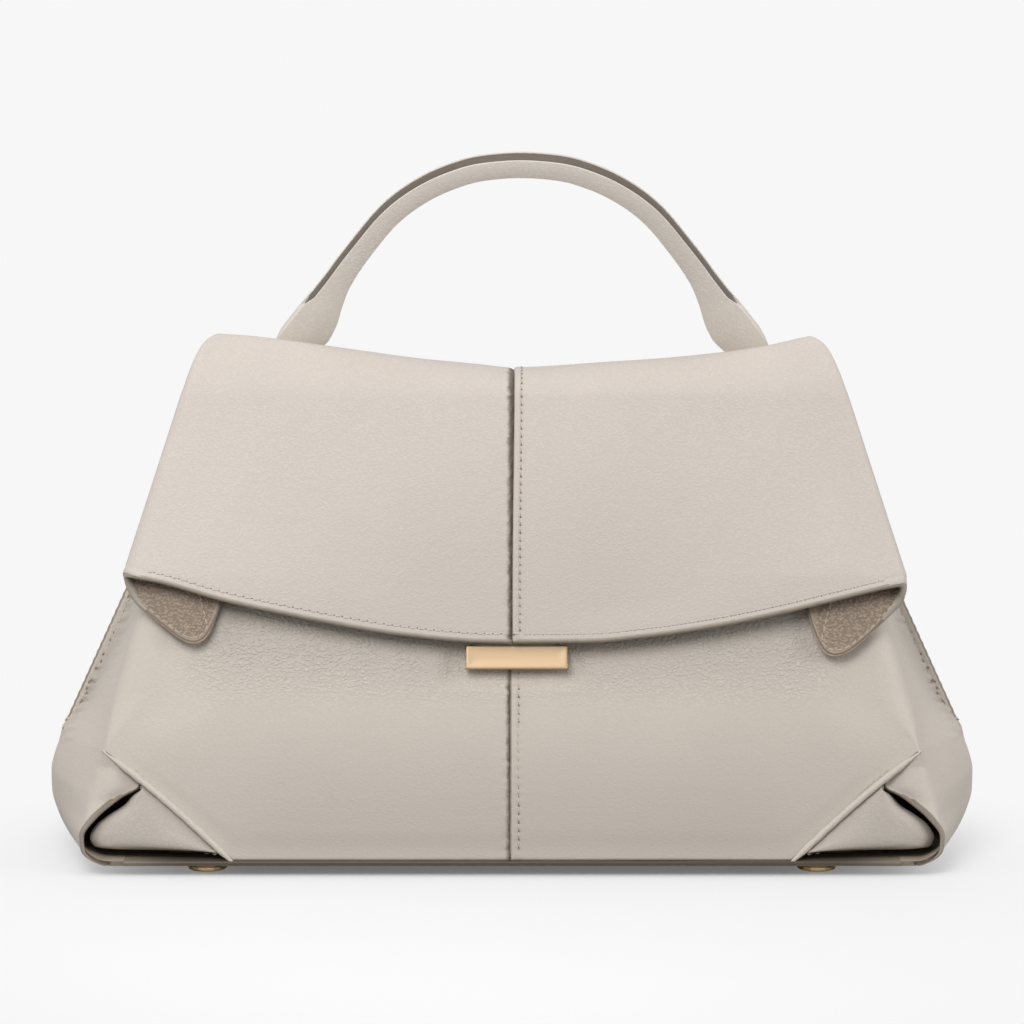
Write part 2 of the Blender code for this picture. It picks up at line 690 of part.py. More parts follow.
def base_board():
    """The stiff board that lies on the base."""
    outline = rounded_outline(BOARD_HALF_WIDTH, -BOARD_HALF_DEPTH, BOARD_HALF_DEPTH, BOARD_CORNER)
    half = BOARD_THICKNESS / 2
    rings = [[(x, y, z) for x, y in outline] for z in (-half, half)]
    obj = ring_solid("base_board", rings, BOARD_LOOK)
    obj.location = (0.0, 0.0, BOARD_BOTTOM + half)
    drill_for_feet(obj, BOARD_THICKNESS)
    return obj


def feet():
    """Four turned studs and the nuts that hold them through the base and its board."""
    flange_top = FOOT_HEIGHT - GAP
    shank_top = NUT_BOTTOM + NUT_HEIGHT - GAP
    waist_low = FOOT_RIM + FOOT_CHAMFER
    waist_high = flange_top - FOOT_CHAMFER
    profile = ((0.0, shank_top), (SHANK_RADIUS, shank_top), (SHANK_RADIUS, flange_top),
               (FOOT_FLANGE_RADIUS, flange_top), (FOOT_WAIST_RADIUS, waist_high),
               (FOOT_WAIST_RADIUS, waist_low + FOOT_CHAMFER), (FOOT_RADIUS, waist_low),
               (FOOT_RADIUS, FOOT_CHAMFER), (FOOT_RADIUS - FOOT_CHAMFER, 0.0), (0.0, 0.0))
    bore = SHANK_RADIUS + GAP
    nut_profile = ((bore, NUT_HEIGHT), (NUT_RADIUS, NUT_HEIGHT), (NUT_RADIUS, 0.0), (bore, 0.0))
    for side, facing, x, y in foot_places():
        turned(corner_name("foot", side, facing), profile, GOLD_LOOK, (x, y, 0.0))
        turned(corner_name("foot_nut", side, facing), nut_profile, STEEL_LOOK, (x, y, NUT_BOTTOM))


def lining_back(z):
    """Outer face of the lining's back wall at a height, which is upright near the floor."""
    return min(panel_depth(z) - LINING_INSET, LINING_FLOOR_DEPTH)


def lining():
    """The cloth lining: an open-topped bag inside the leather one."""
    levels = [LINING_FLOOR]
    levels += [blend(LINING_FLOOR + LINING_INSET, MOUTH_HEIGHT - GAP, step / PANEL_ROWS) for step in
               range(PANEL_ROWS + 1)]
    rows = []
    for index, z in enumerate(levels):
        up = (z - LINING_FLOOR) / (MOUTH_HEIGHT - LINING_FLOOR)
        shrink = LINING_INSET if index == 0 else 0.0
        half_x = blend(LINING_FLOOR_HALF_WIDTH, LINING_TOP_HALF_WIDTH, up) - shrink
        radius = blend(LINING_CORNER_LOW, LINING_CORNER_TOP, up)
        front = max(front_y(z) + LINING_INSET, -LINING_FLOOR_DEPTH) + shrink
        back = lining_back(z) - shrink
        rows.append([(x, y, z) for x, y in rounded_outline(half_x, front, back, radius)])
    return skin("lining", rows, LINING_THICKNESS, LINING_LOOK, closed=True, cap_first=True)


def back_facing():
    """The leather facing that carries the lining on up to the crest."""
    rows = []
    for z in (MOUTH_HEIGHT + GAP, CREST_SPRING_HEIGHT - LINING_INSET):
        y = panel_depth(z) - LINING_INSET
        rows.append([(-FACING_HALF_WIDTH, y, z), (FACING_HALF_WIDTH, y, z)])
    return skin("back_facing", rows, FACING_THICKNESS, LEATHER_FOLD_LOOK)


def pocket():
    """The slip pocket on the back wall: a shallow tray, open at its top."""
    mesh = bpy.data.meshes.new("inner_pocket")
    bm = bmesh.new()
    seat = (LINING_THICKNESS + 2 * GAP) / math.cos(PANEL_LEAN)
    half = POCKET_WIDTH / 2
    corners = ((-half, POCKET_TOP_HEIGHT), (-half, POCKET_FOOT_HEIGHT), (half, POCKET_FOOT_HEIGHT),
               (half, POCKET_TOP_HEIGHT))
    rims = [bm.verts.new((x, lining_back(z) - seat, z)) for x, z in corners]
    stand = POCKET_STAND + POCKET_THICKNESS
    fronts = [bm.verts.new((x, lining_back(z) - seat - stand, z)) for x, z in corners]
    wall = bm.faces.new(fronts)
    for index in range(len(corners) - 1):
        bm.faces.new((rims[index], rims[index + 1], fronts[index + 1], fronts[index]))
    bmesh.ops.recalc_face_normals(bm, faces=bm.faces)
    bm.normal_update()
    if wall.normal.y > 0:
        bmesh.ops.reverse_faces(bm, faces=bm.faces)
    bm.to_mesh(mesh)
    bm.free()
    obj = add_part("inner_pocket", mesh, LINING_LOOK)
    shell = obj.modifiers.new("thickness", "SOLIDIFY")
    shell.thickness = POCKET_THICKNESS
    shell.offset = -1.0
    shell.use_even_offset = True
    return obj


def crest_top(across):
    """Height of the crest's top line, which sags to the middle."""
    return blend(CREST_MIDDLE_HEIGHT, CREST_CORNER_HEIGHT, across ** 2)


def crest_rows(start_x, side, inset, end_margin, start_angle):
    """Rows of points over the crest's arch, from the middle to one side."""
    foot_z = CREST_SPRING_HEIGHT + GAP / 2 + LEATHER * math.sin(FLAP_LEAN)
    width_share = 1.0 - end_margin / FLAP_TOP_HALF_WIDTH
    rows = []
    for column in range(CREST_COLUMNS + 1):
        across = column / CREST_COLUMNS
        rise = crest_top(across * width_share) - foot_z - inset
        row = []
        for step in range(CREST_STEPS + 1):
            angle = blend(start_angle, math.pi - start_angle, step / CREST_STEPS)
            lift = math.sin(angle)
            edge_x = side * (blend(FLAP_TOP_HALF_WIDTH, CREST_TOP_HALF_WIDTH, lift) - end_margin)
            x = blend(start_x, edge_x, across)
            z = foot_z + rise * lift
            y = blend(flap_y(z) + inset, panel_depth(z) - inset, (1 + math.cos(angle)) / 2)
            row.append((x, y, z))
        rows.append(row)
    return rows


def crest():
    """The two leather halves that roll over the top, and the board that keeps their arch."""
    for side in (-1, 1):
        rows = crest_rows(FLAP_SEAM_X + side * GAP / 2, side, 0.0, 0.0, 0.0)
        skin("crest_" + side_name(side), rows, LEATHER, LEATHER_LOOK)
    inset = LEATHER + 3 * GAP
    left = crest_rows(0.0, -1, inset, CREST_BOARD_MARGIN, CREST_BOARD_START)
    right = crest_rows(0.0, 1, inset, CREST_BOARD_MARGIN, CREST_BOARD_START)
    skin("crest_board", left[:0:-1] + right, CREST_BOARD, BOARD_LOOK)


def flap_y(z):
    """Outer face of the flap at a height, at its middle."""
    return -FLAP_TOP_OUT - FLAP_SLOPE * (CREST_SPRING_HEIGHT - z)


def flap_drop(z):
    """Share of the way down the flap's side."""
    return min(1.0, (CREST_SPRING_HEIGHT - z) / FLAP_SIDE_HEIGHT)


def flap_swell(across, z):
    """How far the flap stands out towards its lower corners."""
    return FLAP_CORNER_SWELL * across ** 2 * max(0.0, flap_drop(z)) ** 2


def fold_x(z):
    """Half width of the flap at its side fold."""
    return blend(FLAP_TOP_HALF_WIDTH, FLAP_HEM_HALF_WIDTH, flap_drop(z))


def flap_columns(side, start_x, depth):
    """Columns of points down one half of the flap: its front, its side fold and its wing.

    The depth sets how far inside the outer face the skin lies.
    """
    top = CREST_SPRING_HEIGHT - GAP / 2
    columns = []
    for index in range(FLAP_COLUMNS + 1):
        across = index / FLAP_COLUMNS
        hem = blend(HEM_MIDDLE_HEIGHT, HEM_CORNER_HEIGHT, across ** HEM_CURVE_POWER)
        column = []
        for step in range(FLAP_ROWS + 1):
            z = blend(top, hem, step / FLAP_ROWS)
            x = blend(start_x, side * (fold_x(z) - FOLD_RADIUS_HEM), across)
            column.append((x, flap_y(z) - flap_swell(across, z) + depth, z))
        columns.append(column)
    for index in range(1, FOLD_STEPS + 1):
        angle = math.pi * index / FOLD_STEPS
        column = []
        for step in range(FLAP_ROWS + 1):
            z = blend(top, HEM_CORNER_HEIGHT, step / FLAP_ROWS)
            radius = blend(FOLD_RADIUS_TOP, FOLD_RADIUS_HEM, flap_drop(z))
            x = fold_x(z) - FOLD_RADIUS_HEM + (radius - depth) * math.sin(angle)
            y = flap_y(z) - flap_swell(1.0, z) + radius - (radius - depth) * math.cos(angle)
            column.append((side * x, y, z))
        columns.append(column)
    for index in range(1, WING_COLUMNS + 1):
        inward = index / WING_COLUMNS
        drop = WING_TIP_HEIGHT - HEM_CORNER_HEIGHT
        hem = blend(WING_TIP_HEIGHT, HEM_CORNER_HEIGHT, read_shares(WING_HEM_SHARES, inward))
        column = []
        for step in range(FLAP_ROWS + 1):
            share = step / FLAP_ROWS
            z = blend(top, hem, share)
            radius = blend(FOLD_RADIUS_TOP, FOLD_RADIUS_HEM, flap_drop(z))
            width = blend(WING_WIDTH_TOP, WING_WIDTH_HEM - FOLD_RADIUS_HEM, share)
            x = fold_x(z) - FOLD_RADIUS_HEM - inward * width
            y = flap_y(z) - flap_swell(1.0, z) + 2 * radius - depth
            column.append((side * x, y, z))
        columns.append(column)
    return columns


def flap_axis():
    """The line in the leather's outer face that the flap swings about."""
    return (0.0, -FLAP_TOP_OUT - HANDLE_AXIS_CLEARANCE, CREST_SPRING_HEIGHT)


def flap():
    """The flap's two leather halves and the lining that backs them."""
    for side in (-1, 1):
        columns = flap_columns(side, FLAP_SEAM_X + side * GAP / 2, 0.0)
        half = skin("flap_" + side_name(side), columns, FLAP_LEATHER, LEATHER_LOOK)
        move_origin(half, flap_axis())
    depth = (FLAP_LEATHER + GAP) / math.cos(FLAP_LEAN)
    left = flap_columns(-1, FLAP_SEAM_X, depth)
    right = flap_columns(1, FLAP_SEAM_X, depth)
    backing = skin("flap_lining", left[:0:-1] + right, FLAP_LINING, LEATHER_FOLD_LOOK)
    move_origin(backing, flap_axis())


def handle_frame():
    """The frame of the handle: its axis lies behind the crest and its Z follows the back panel."""
    stack = 2 * HANDLE_SKIN + HANDLE_CORE + 2 * GAP
    depth = stack + HANDLE_AXIS_CLEARANCE + HANDLE_SEAT
    y = panel_depth(HANDLE_AXIS_HEIGHT) + depth / math.cos(PANEL_LEAN)
    return add_frame("handle_axis", (HANDLE_OFFSET_X, y, HANDLE_AXIS_HEIGHT), PANEL_LEAN), stack


def handle_line():
    """Points and widths along the arch, from one foot to the other, in the handle's plane."""
    knots = [(-x, z) for x, z in reversed(HANDLE_LINE_SHARES[1:])] + list(HANDLE_LINE_SHARES)
    knots = [Vector((x * HANDLE_HALF_SPAN, 0.0, z * HANDLE_RISE)) for x, z in knots]
    padded = [2 * knots[0] - knots[1]] + knots + [2 * knots[-1] - knots[-2]]
    fine = []
    for index in range(1, len(padded) - 2):
        before, start, end, after = padded[index - 1:index + 3]
        for part in range(HANDLE_LINE_PARTS):
            t = part / HANDLE_LINE_PARTS
            fine.append(0.5 * (2 * start + (end - before) * t
                               + (2 * before - 5 * start + 4 * end - after) * t ** 2
                               + (3 * start - before - 3 * end + after) * t ** 3))
    fine.append(knots[-1])
    return fine


def handle_width(down):
    """Width of the handle at a share of the way from its top to a foot."""
    return blend(HANDLE_TOP_WIDTH, HANDLE_LEAF_WIDTH, read_shares(HANDLE_WIDTH_SHARES, down))


def handle_layer(name, near, far, inset, look, parent):
    """One layer of the handle between two depths behind its front face."""
    line = handle_line()
    lengths = [0.0]
    for start, end in zip(line, line[1:]):
        lengths.append(lengths[-1] + (end - start).length)
    half_length = lengths[-1] / 2
    rings = []
    for index, point in enumerate(line):
        tangent = (line[min(index + 1, len(line) - 1)] - line[max(index - 1, 0)]).normalized()
        if index in (0, len(line) - 1):
            tangent = Vector((0.0, 0.0, 1.0 if index == 0 else -1.0))
        normal = Vector((tangent.z, 0.0, -tangent.x))
        reach = normal * (handle_width(abs(lengths[index] - half_length) / half_length) / 2 - inset)
        front = Vector((0.0, near, 0.0))
        back = Vector((0.0, far, 0.0))
        rings.append([point - reach + front, point + reach + front, point + reach + back,
                      point - reach + back])
    obj = ring_solid(name, rings, look)
    add_bevel(obj, HANDLE_EDGE_ROUND)
    return place(obj, parent, (0.0, 0.0, 0.0))


def handle():
    """The arched handle: a filler between two leathers."""
    frame, stack = handle_frame()
    front = -stack - HANDLE_AXIS_CLEARANCE
    core = front + HANDLE_SKIN + GAP
    back = core + HANDLE_CORE + GAP
    handle_layer("handle_front", front, front + HANDLE_SKIN, 0.0, LEATHER_LOOK, frame)
    handle_layer("handle_core", core, core + HANDLE_CORE, HANDLE_CORE_INSET, EDGE_LOOK, frame)
    handle_layer("handle_back", back, back + HANDLE_SKIN, 0.0, LEATHER_LOOK, frame)
    for side in (-1, 1):
        handle_tab(side, frame, front)
        handle_patch(side, frame, front)


def handle_tab(side, frame, front):
    """The stitched tab on the back panel that a foot of the handle bends from."""
    width = handle_width(1.0)
    near = front - HANDLE_SEAT + GAP
    centre_x = side * HANDLE_HALF_SPAN
    rings = []
    for step in range(CORNER_ARC_STEPS + 1):
        share = step / CORNER_ARC_STEPS
        z = blend(-GAP, width / 2 - TAB_LENGTH, share)
        far = blend(-HANDLE_AXIS_CLEARANCE, near + TAB_END_THICKNESS, math.sqrt(share))
        rings.append(tab_ring(centre_x, width / 2, near, far, z))
    for step in range(1, CORNER_ARC_STEPS):
        angle = math.pi / 2 * step / CORNER_ARC_STEPS
        z = width / 2 - TAB_LENGTH - width / 2 * math.sin(angle)
        rings.append(tab_ring(centre_x, width / 2 * math.cos(angle), near, near + TAB_END_THICKNESS, z))
    obj = ring_solid("handle_tab_" + side_name(side), rings, LEATHER_LOOK)
    return place(obj, frame, (0.0, 0.0, 0.0))


def tab_ring(centre_x, half, near, far, z):
    """One cross-section of a tab."""
    return [(centre_x - half, near, z), (centre_x + half, near, z), (centre_x + half, far, z),
            (centre_x - half, far, z)]


def handle_patch(side, frame, front):
    """The stiffening patch inside the back panel that the tab is sewn through to."""
    width = handle_width(1.0) + 2 * PATCH_MARGIN
    name = "handle_patch_" + side_name(side)
    obj = add_part(name, block_mesh(name, (width, PATCH_THICKNESS, PATCH_LENGTH)), BOARD_LOOK)
    inner_face = front - HANDLE_SEAT - LEATHER - GAP
    z = -TAB_LENGTH / 2 - PATCH_MARGIN / 2
    return place(obj, frame, (side * HANDLE_HALF_SPAN, inner_face - PATCH_THICKNESS / 2, z))


def lock():
    """The press lock: a case on the front panel, a bar that slides over it, and its spring."""
    frame = add_frame("lock_frame", (LOCK_X, front_y(LOCK_HEIGHT), LOCK_HEIGHT), -PANEL_LEAN)
    head_z = BAR_HEIGHT / 2 + CASE_SLIDE_CLEARANCE + CASE_HEAD_HEIGHT / 2
    case_front = -GAP - CASE_DEPTH
    bar_front = -BAR_STANDOFF - BAR_DEPTH
    case = lock_case(frame, head_z, case_front)
    lock_bar(frame, bar_front)
    lock_spring(frame, case_front + SPRING_POCKET_DEPTH - GAP, bar_front + BAR_WALL + GAP)
    lock_fixings(frame, case)
    strike(head_z)


def lock_case(frame, head_z, front):
    """The case: a block inside the bar, a head above it that holds the catch, and a neck between."""
    around = 2 * (BAR_WALL + CASE_SLIDE_CLEARANCE)
    size = (BAR_WIDTH - around, CASE_DEPTH, BAR_HEIGHT - around)
    middle_y = -GAP - CASE_DEPTH / 2
    case = place(add_part("lock_case", block_mesh("lock_case", size), STEEL_LOOK), frame,
                 (0.0, middle_y, 0.0))
    head_size = (CASE_HEAD_WIDTH, CASE_DEPTH, CASE_HEAD_HEIGHT)
    apply_shape(case, add_cutter("case_head", block_mesh("case_head", head_size), frame,
                                 (0.0, middle_y, head_z)), "UNION")
    neck_depth = BAR_STANDOFF - BAR_TRAVEL - GAP - GAP / 2
    neck_size = (CASE_HEAD_WIDTH, neck_depth, head_z)
    apply_shape(case, add_cutter("case_neck", block_mesh("case_neck", neck_size), frame,
                                 (0.0, -GAP - neck_depth / 2, head_z / 2)), "UNION")
    catch_size = (CATCH_WIDTH, CATCH_DEPTH + OVERRUN, CATCH_HEIGHT)
    apply_shape(case, add_cutter("case_catch", block_mesh("case_catch", catch_size), frame,
                                 (0.0, front + (CATCH_DEPTH - OVERRUN) / 2, head_z)))
    bore = rod_mesh("spring_bore", SPRING_RADIUS + SPRING_WIRE + GAP, SPRING_POCKET_DEPTH + OVERRUN)
    apply_shape(case, add_cutter("spring_bore", bore, frame,
                                 (0.0, front + (SPRING_POCKET_DEPTH - OVERRUN) / 2, 0.0)))
    return case


def lock_bar(frame, front):
    """The gold bar: a shallow cap that is pressed in towards the case."""
    middle_y = front + BAR_DEPTH / 2
    bar = place(add_part("lock_bar", block_mesh("lock_bar", (BAR_WIDTH, BAR_DEPTH, BAR_HEIGHT)), GOLD_LOOK),
                frame, (0.0, middle_y, 0.0))
    add_bevel(bar, BAR_EDGE, 2)
    size = (BAR_WIDTH - 2 * BAR_WALL, BAR_DEPTH - BAR_WALL + OVERRUN, BAR_HEIGHT - 2 * BAR_WALL)
    apply_shape(bar, add_cutter("bar_hollow", block_mesh("bar_hollow", size), frame,
                                (0.0, middle_y + (BAR_WALL + OVERRUN) / 2, 0.0)))
    return bar


def lock_spring(frame, deep, shallow):
    """The coil spring that pushes the bar back out."""
    curve = bpy.data.curves.new("lock_spring", "CURVE")
    curve.dimensions = "3D"
    curve.bevel_depth = SPRING_WIRE
    curve.bevel_resolution = 1
    curve.use_fill_caps = True
    count = SPRING_TURNS * SPRING_POINTS_PER_TURN
    spline = curve.splines.new("POLY")
    spline.points.add(count)
    for index, point in enumerate(spline.points):
        angle = 2 * math.pi * index / SPRING_POINTS_PER_TURN
        y = blend(deep - SPRING_WIRE, shallow + SPRING_WIRE, index / count)
        point.co = (SPRING_RADIUS * math.cos(angle), y, SPRING_RADIUS * math.sin(angle), 1.0)
    obj = add_part("lock_spring", curve, STEEL_LOOK)
    return place(obj, frame, (0.0, 0.0, 0.0))


def lock_fixings(frame, case):
    """The plate inside the panel and the two screws that clamp the case to it."""
    plate_near = LEATHER + GAP
    plate_size = (PLATE_WIDTH, PLATE_THICKNESS, PLATE_HEIGHT)
    plate = place(add_part("lock_plate", block_mesh("lock_plate", plate_size), STEEL_LOOK), frame,
                  (0.0, plate_near + PLATE_THICKNESS / 2, 0.0))
    seat = plate_near + PLATE_THICKNESS + GAP / 2
    shank_end = seat + SCREW_HEAD_HEIGHT / 2
    tip = -GAP - SCREW_REACH
    middle_y = (shank_end + tip) / 2
    for side in (-1, 1):
        x = side * SCREW_SPACING / 2
        name = "lock_screw_" + side_name(side)
        screw = add_part(name, rod_mesh(name, SCREW_RADIUS, shank_end - tip), STEEL_LOOK)
        place(screw, frame, (x, middle_y, 0.0))
        head = add_cutter(name + "_head", rod_mesh(name + "_head", SCREW_HEAD_RADIUS, SCREW_HEAD_HEIGHT),
                          frame, (x, seat + SCREW_HEAD_HEIGHT / 2, 0.0))
        apply_shape(screw, head, "UNION")
        bore = rod_mesh(name + "_hole", SCREW_RADIUS + GAP, shank_end - tip + 2 * GAP)
        hole = add_cutter(name + "_hole", bore, frame, (x, middle_y, 0.0))
        for pierced in (plate, case, bpy.data.objects["front_panel_" + side_name(side)]):
            apply_shape(pierced, hole)


def strike(head_z):
    """The strike on the flap's lining, whose nose enters the catch in the case."""
    depth = GAP + CASE_DEPTH - CATCH_DEPTH / 2
    catch_y = front_y(LOCK_HEIGHT) + head_z * math.sin(PANEL_LEAN) - depth * math.cos(PANEL_LEAN)
    catch_z = LOCK_HEIGHT + head_z * math.cos(PANEL_LEAN) + depth * math.sin(PANEL_LEAN)
    inward = Vector((0.0, math.cos(FLAP_LEAN), -math.sin(FLAP_LEAN)))
    lining_face = flap_y(catch_z) + FLAP_STACK / inward.y
    reach = (catch_y - lining_face) * inward.y
    frame = add_frame("strike_frame", Vector((LOCK_X, catch_y, catch_z)) - reach * inward, -FLAP_LEAN)
    middle = GAP + STRIKE_THICKNESS / 2
    size = (STRIKE_WIDTH, STRIKE_THICKNESS, STRIKE_HEIGHT)
    plate = add_part("lock_strike", block_mesh("lock_strike", size), GOLD_LOOK)
    place(plate, frame, (0.0, middle, 0.0))
    nose_size = (CATCH_WIDTH - 2 * NOSE_CLEARANCE, reach - middle, CATCH_HEIGHT - 2 * NOSE_CLEARANCE)
    apply_shape(plate, add_cutter("strike_nose", block_mesh("strike_nose", nose_size), frame,
                                  (0.0, (reach + middle) / 2, 0.0)), "UNION")


def build():
    """Make every sub-part of the bag."""
    body_panels()
    for side in (-1, 1):
        side_wrap(side)
        side_seam(side)
        for facing in (-1, 1):
            corner_seam(side, facing)
            corner_fold(side, facing)
    base_panel()
    base_board()
    feet()
    lining()
    back_facing()
    pocket()
    crest()
    flap()
    handle()
    lock()


build()
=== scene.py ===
"""A structured leather bag with one arched handle, dressed for its picture.

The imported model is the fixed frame. Every leather or cloth piece is a fine shell laid where its
plain solid lies, and the press bar gets a fine cap. The other metal fittings keep their solids.
"""

import math

import bmesh
import bpy
import numpy as np
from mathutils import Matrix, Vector


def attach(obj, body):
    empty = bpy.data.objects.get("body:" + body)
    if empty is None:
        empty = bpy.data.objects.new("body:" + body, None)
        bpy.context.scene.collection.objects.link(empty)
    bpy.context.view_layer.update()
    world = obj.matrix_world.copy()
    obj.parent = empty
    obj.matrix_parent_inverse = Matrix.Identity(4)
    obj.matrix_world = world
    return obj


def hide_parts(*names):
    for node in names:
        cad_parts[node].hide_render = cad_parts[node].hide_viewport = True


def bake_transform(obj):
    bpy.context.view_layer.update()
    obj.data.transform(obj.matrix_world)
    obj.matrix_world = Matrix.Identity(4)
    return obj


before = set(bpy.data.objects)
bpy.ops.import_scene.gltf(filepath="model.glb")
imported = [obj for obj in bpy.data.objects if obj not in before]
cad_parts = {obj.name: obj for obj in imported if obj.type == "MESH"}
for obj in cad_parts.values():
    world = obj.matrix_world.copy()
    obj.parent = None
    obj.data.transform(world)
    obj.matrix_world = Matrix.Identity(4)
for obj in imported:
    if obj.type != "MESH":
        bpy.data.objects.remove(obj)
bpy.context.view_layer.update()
bpy.ops.object.select_all(action="DESELECT")


# The front face: two halves of pebbled calf leather, 1.6 mm thick, cut as one with the folded side
# but laid out here up to the soft crease. The right half is turned in at the middle seam and sewn
# over the left one.
MM = 0.001
SIDES = ((-1, "left"), (1, "right"))
LEATHER = 1.6
SEAM_GAP = 0.3
BASE_TOP = 5.8
MOUTH = 146.0
SPRING = 176.0
CORNER = 44.7
FOOT_DEPTH = 73.7
TOP_DEPTH = 16.75
LEAN = (FOOT_DEPTH - TOP_DEPTH) / (SPRING - BASE_TOP)
LEAN_ANGLE = math.atan(LEAN)
LEAN_COS = math.cos(LEAN_ANGLE)
LEAN_SIN = math.sin(LEAN_ANGLE)
TOP_HALF = 126.3
CREASE_FOOT = 154.7
CREASE_LEAN = 0.2524
DRAWN_IN = 4.5
DRAWN_FROM = 95.0
RIDGE_START = 108.0
RIDGE_LOW = 7.1
RIDGE_SLOPE = (CORNER - RIDGE_LOW) / (CREASE_FOOT - RIDGE_START)
RIDGE_ARCH = 1.3
PANEL_FOOT = 6.6
PANEL_COLUMNS = 84
FRONT_ROWS = 165
FRONT_FULL = 2.0
FRONT_FULL_TOP = 88.0
SEAM_STITCH = 2.5
PITCH = 3.2
BAR_BED = 79.0
FRONT_SEAM = -0.25
BACK_SEAM = 0.8
CALF = (0.640, 0.580, 0.512)
FLAP_CALF = (0.640, 0.57884, 0.52224)
EDGE_PAINT = (0.400, 0.350, 0.290)
# The next tone is painted shade on the wings' edges, which lie behind the flap.
EDGE_PAINTED_SHADE = (0.150, 0.118, 0.088)
# The next tone is painted shade for the seams' valleys.
SEAM_SHADE = (0.125, 0.100, 0.078)
FLESH = (0.340, 0.285, 0.225)
ROUND_RIM = ((0.10, 0.26), (0.30, 0.42), (0.50, 0.47), (0.70, 0.42), (0.90, 0.26))
SLIGHT_RIM = ((0.10, 0.10), (0.50, 0.16), (0.90, 0.10))


class Finish:
    """A socket in a finish's node tree. Sums written on it add Math nodes."""

    def __init__(self, tree, socket=None):
        self.tree = tree
        self.socket = socket

    def node(self, kind, settings=None, inputs=None, out=0):
        """Add a node, set its settings, then fill or link its sockets."""
        new = self.tree.nodes.new(kind)
        for key, value in (settings or {}).items():
            setattr(new, key, value)
        for key, value in (inputs or {}).items():
            socket = new.inputs[key]
            if isinstance(value, Finish):
                self.tree.links.new(value.socket, socket)
            elif isinstance(value, tuple) and len(value) == 3 and len(socket.default_value) == 4:
                socket.default_value = (*value, 1.0)
            else:
                socket.default_value = value
        return Finish(self.tree, new.outputs[out])

    def math(self, operation, *values):
        """One Math node on this and other values."""
        return self.node("ShaderNodeMath", {"operation": operation}, dict(enumerate(values)))

    def __add__(self, other):
        return self.math("ADD", self, other)

    def __sub__(self, other):
        return self.math("SUBTRACT", self, other)

    def __rsub__(self, other):
        return self.math("SUBTRACT", other, self)

    def __mul__(self, other):
        return self.math("MULTIPLY", self, other)

    __radd__ = __add__


def start_finish(name, roughness, metallic=0.0, **fixed):
    """A new material, with the place on the piece and the shader that the finish feeds."""
    material = bpy.data.materials.new(name)
    material.use_nodes = True
    tree = material.node_tree
    shader = tree.nodes["Principled BSDF"]
    shader.inputs["Roughness"].default_value = roughness
    shader.inputs["Metallic"].default_value = metallic
    for key, value in fixed.items():
        shader.inputs[key.replace("_", " ")].default_value = value
    place = Finish(tree).node("ShaderNodeTexCoord", out=3)
    return material, shader, place


def noise(place, scale, detail=2.0, roughness=0.5, out=0):
    """Smooth noise with so many waves to a metre."""
    return place.node("ShaderNodeTexNoise", None, {"Vector": place, "Scale": scale, "Detail": detail,
                                                   "Roughness": roughness}, out)


def pebbles(place, scale):
    """Soft round domes, from about 0 between them to 1 on top."""
    away = place.node("ShaderNodeTexVoronoi", {"feature": "SMOOTH_F1"},
                      {"Vector": place, "Scale": scale, "Smoothness": 0.35})
    dome = 1.0 - away * 1.55
    return dome.math("MAXIMUM", dome, 0.0)


def set_colour(shader, low, high, mask):
    """Blend the base colour between two tones, or from an earlier blend to one more, by a mask."""
    mixed = mask.node("ShaderNodeMix", {"data_type": "RGBA"}, {"Factor": mask, 6: low, 7: high}, 2)
    mask.tree.links.new(mixed.socket, shader.inputs["Base Color"])
    return mixed


def toned(colour, share):
    """A lighter or darker tone of a colour."""
    return tuple(min(1.0, channel * share) for channel in colour)


def set_relief(shader, height, strength, distance):
    """Feed a height into the surface's bump."""
    bump = height.node("ShaderNodeBump", None, {"Height": height, "Strength": strength,
                                                "Distance": distance * MM})
    height.tree.links.new(bump.socket, shader.inputs["Normal"])


def axes_of(place):
    """The three coordinates of a place, in metres."""
    parts = place.node("ShaderNodeSeparateXYZ", None, {"Vector": place})
    return [Finish(parts.tree, parts.socket.node.outputs[k]) for k in range(3)]


def span(value, low, high, start=0.0, end=1.0):
    """A smooth mask that goes from start at low to end at high."""
    return value.node("ShaderNodeMapRange", {"interpolation_type": "SMOOTHSTEP"},
                      {"Value": value, "From Min": low, "From Max": high, "To Min": start, "To Max": end})


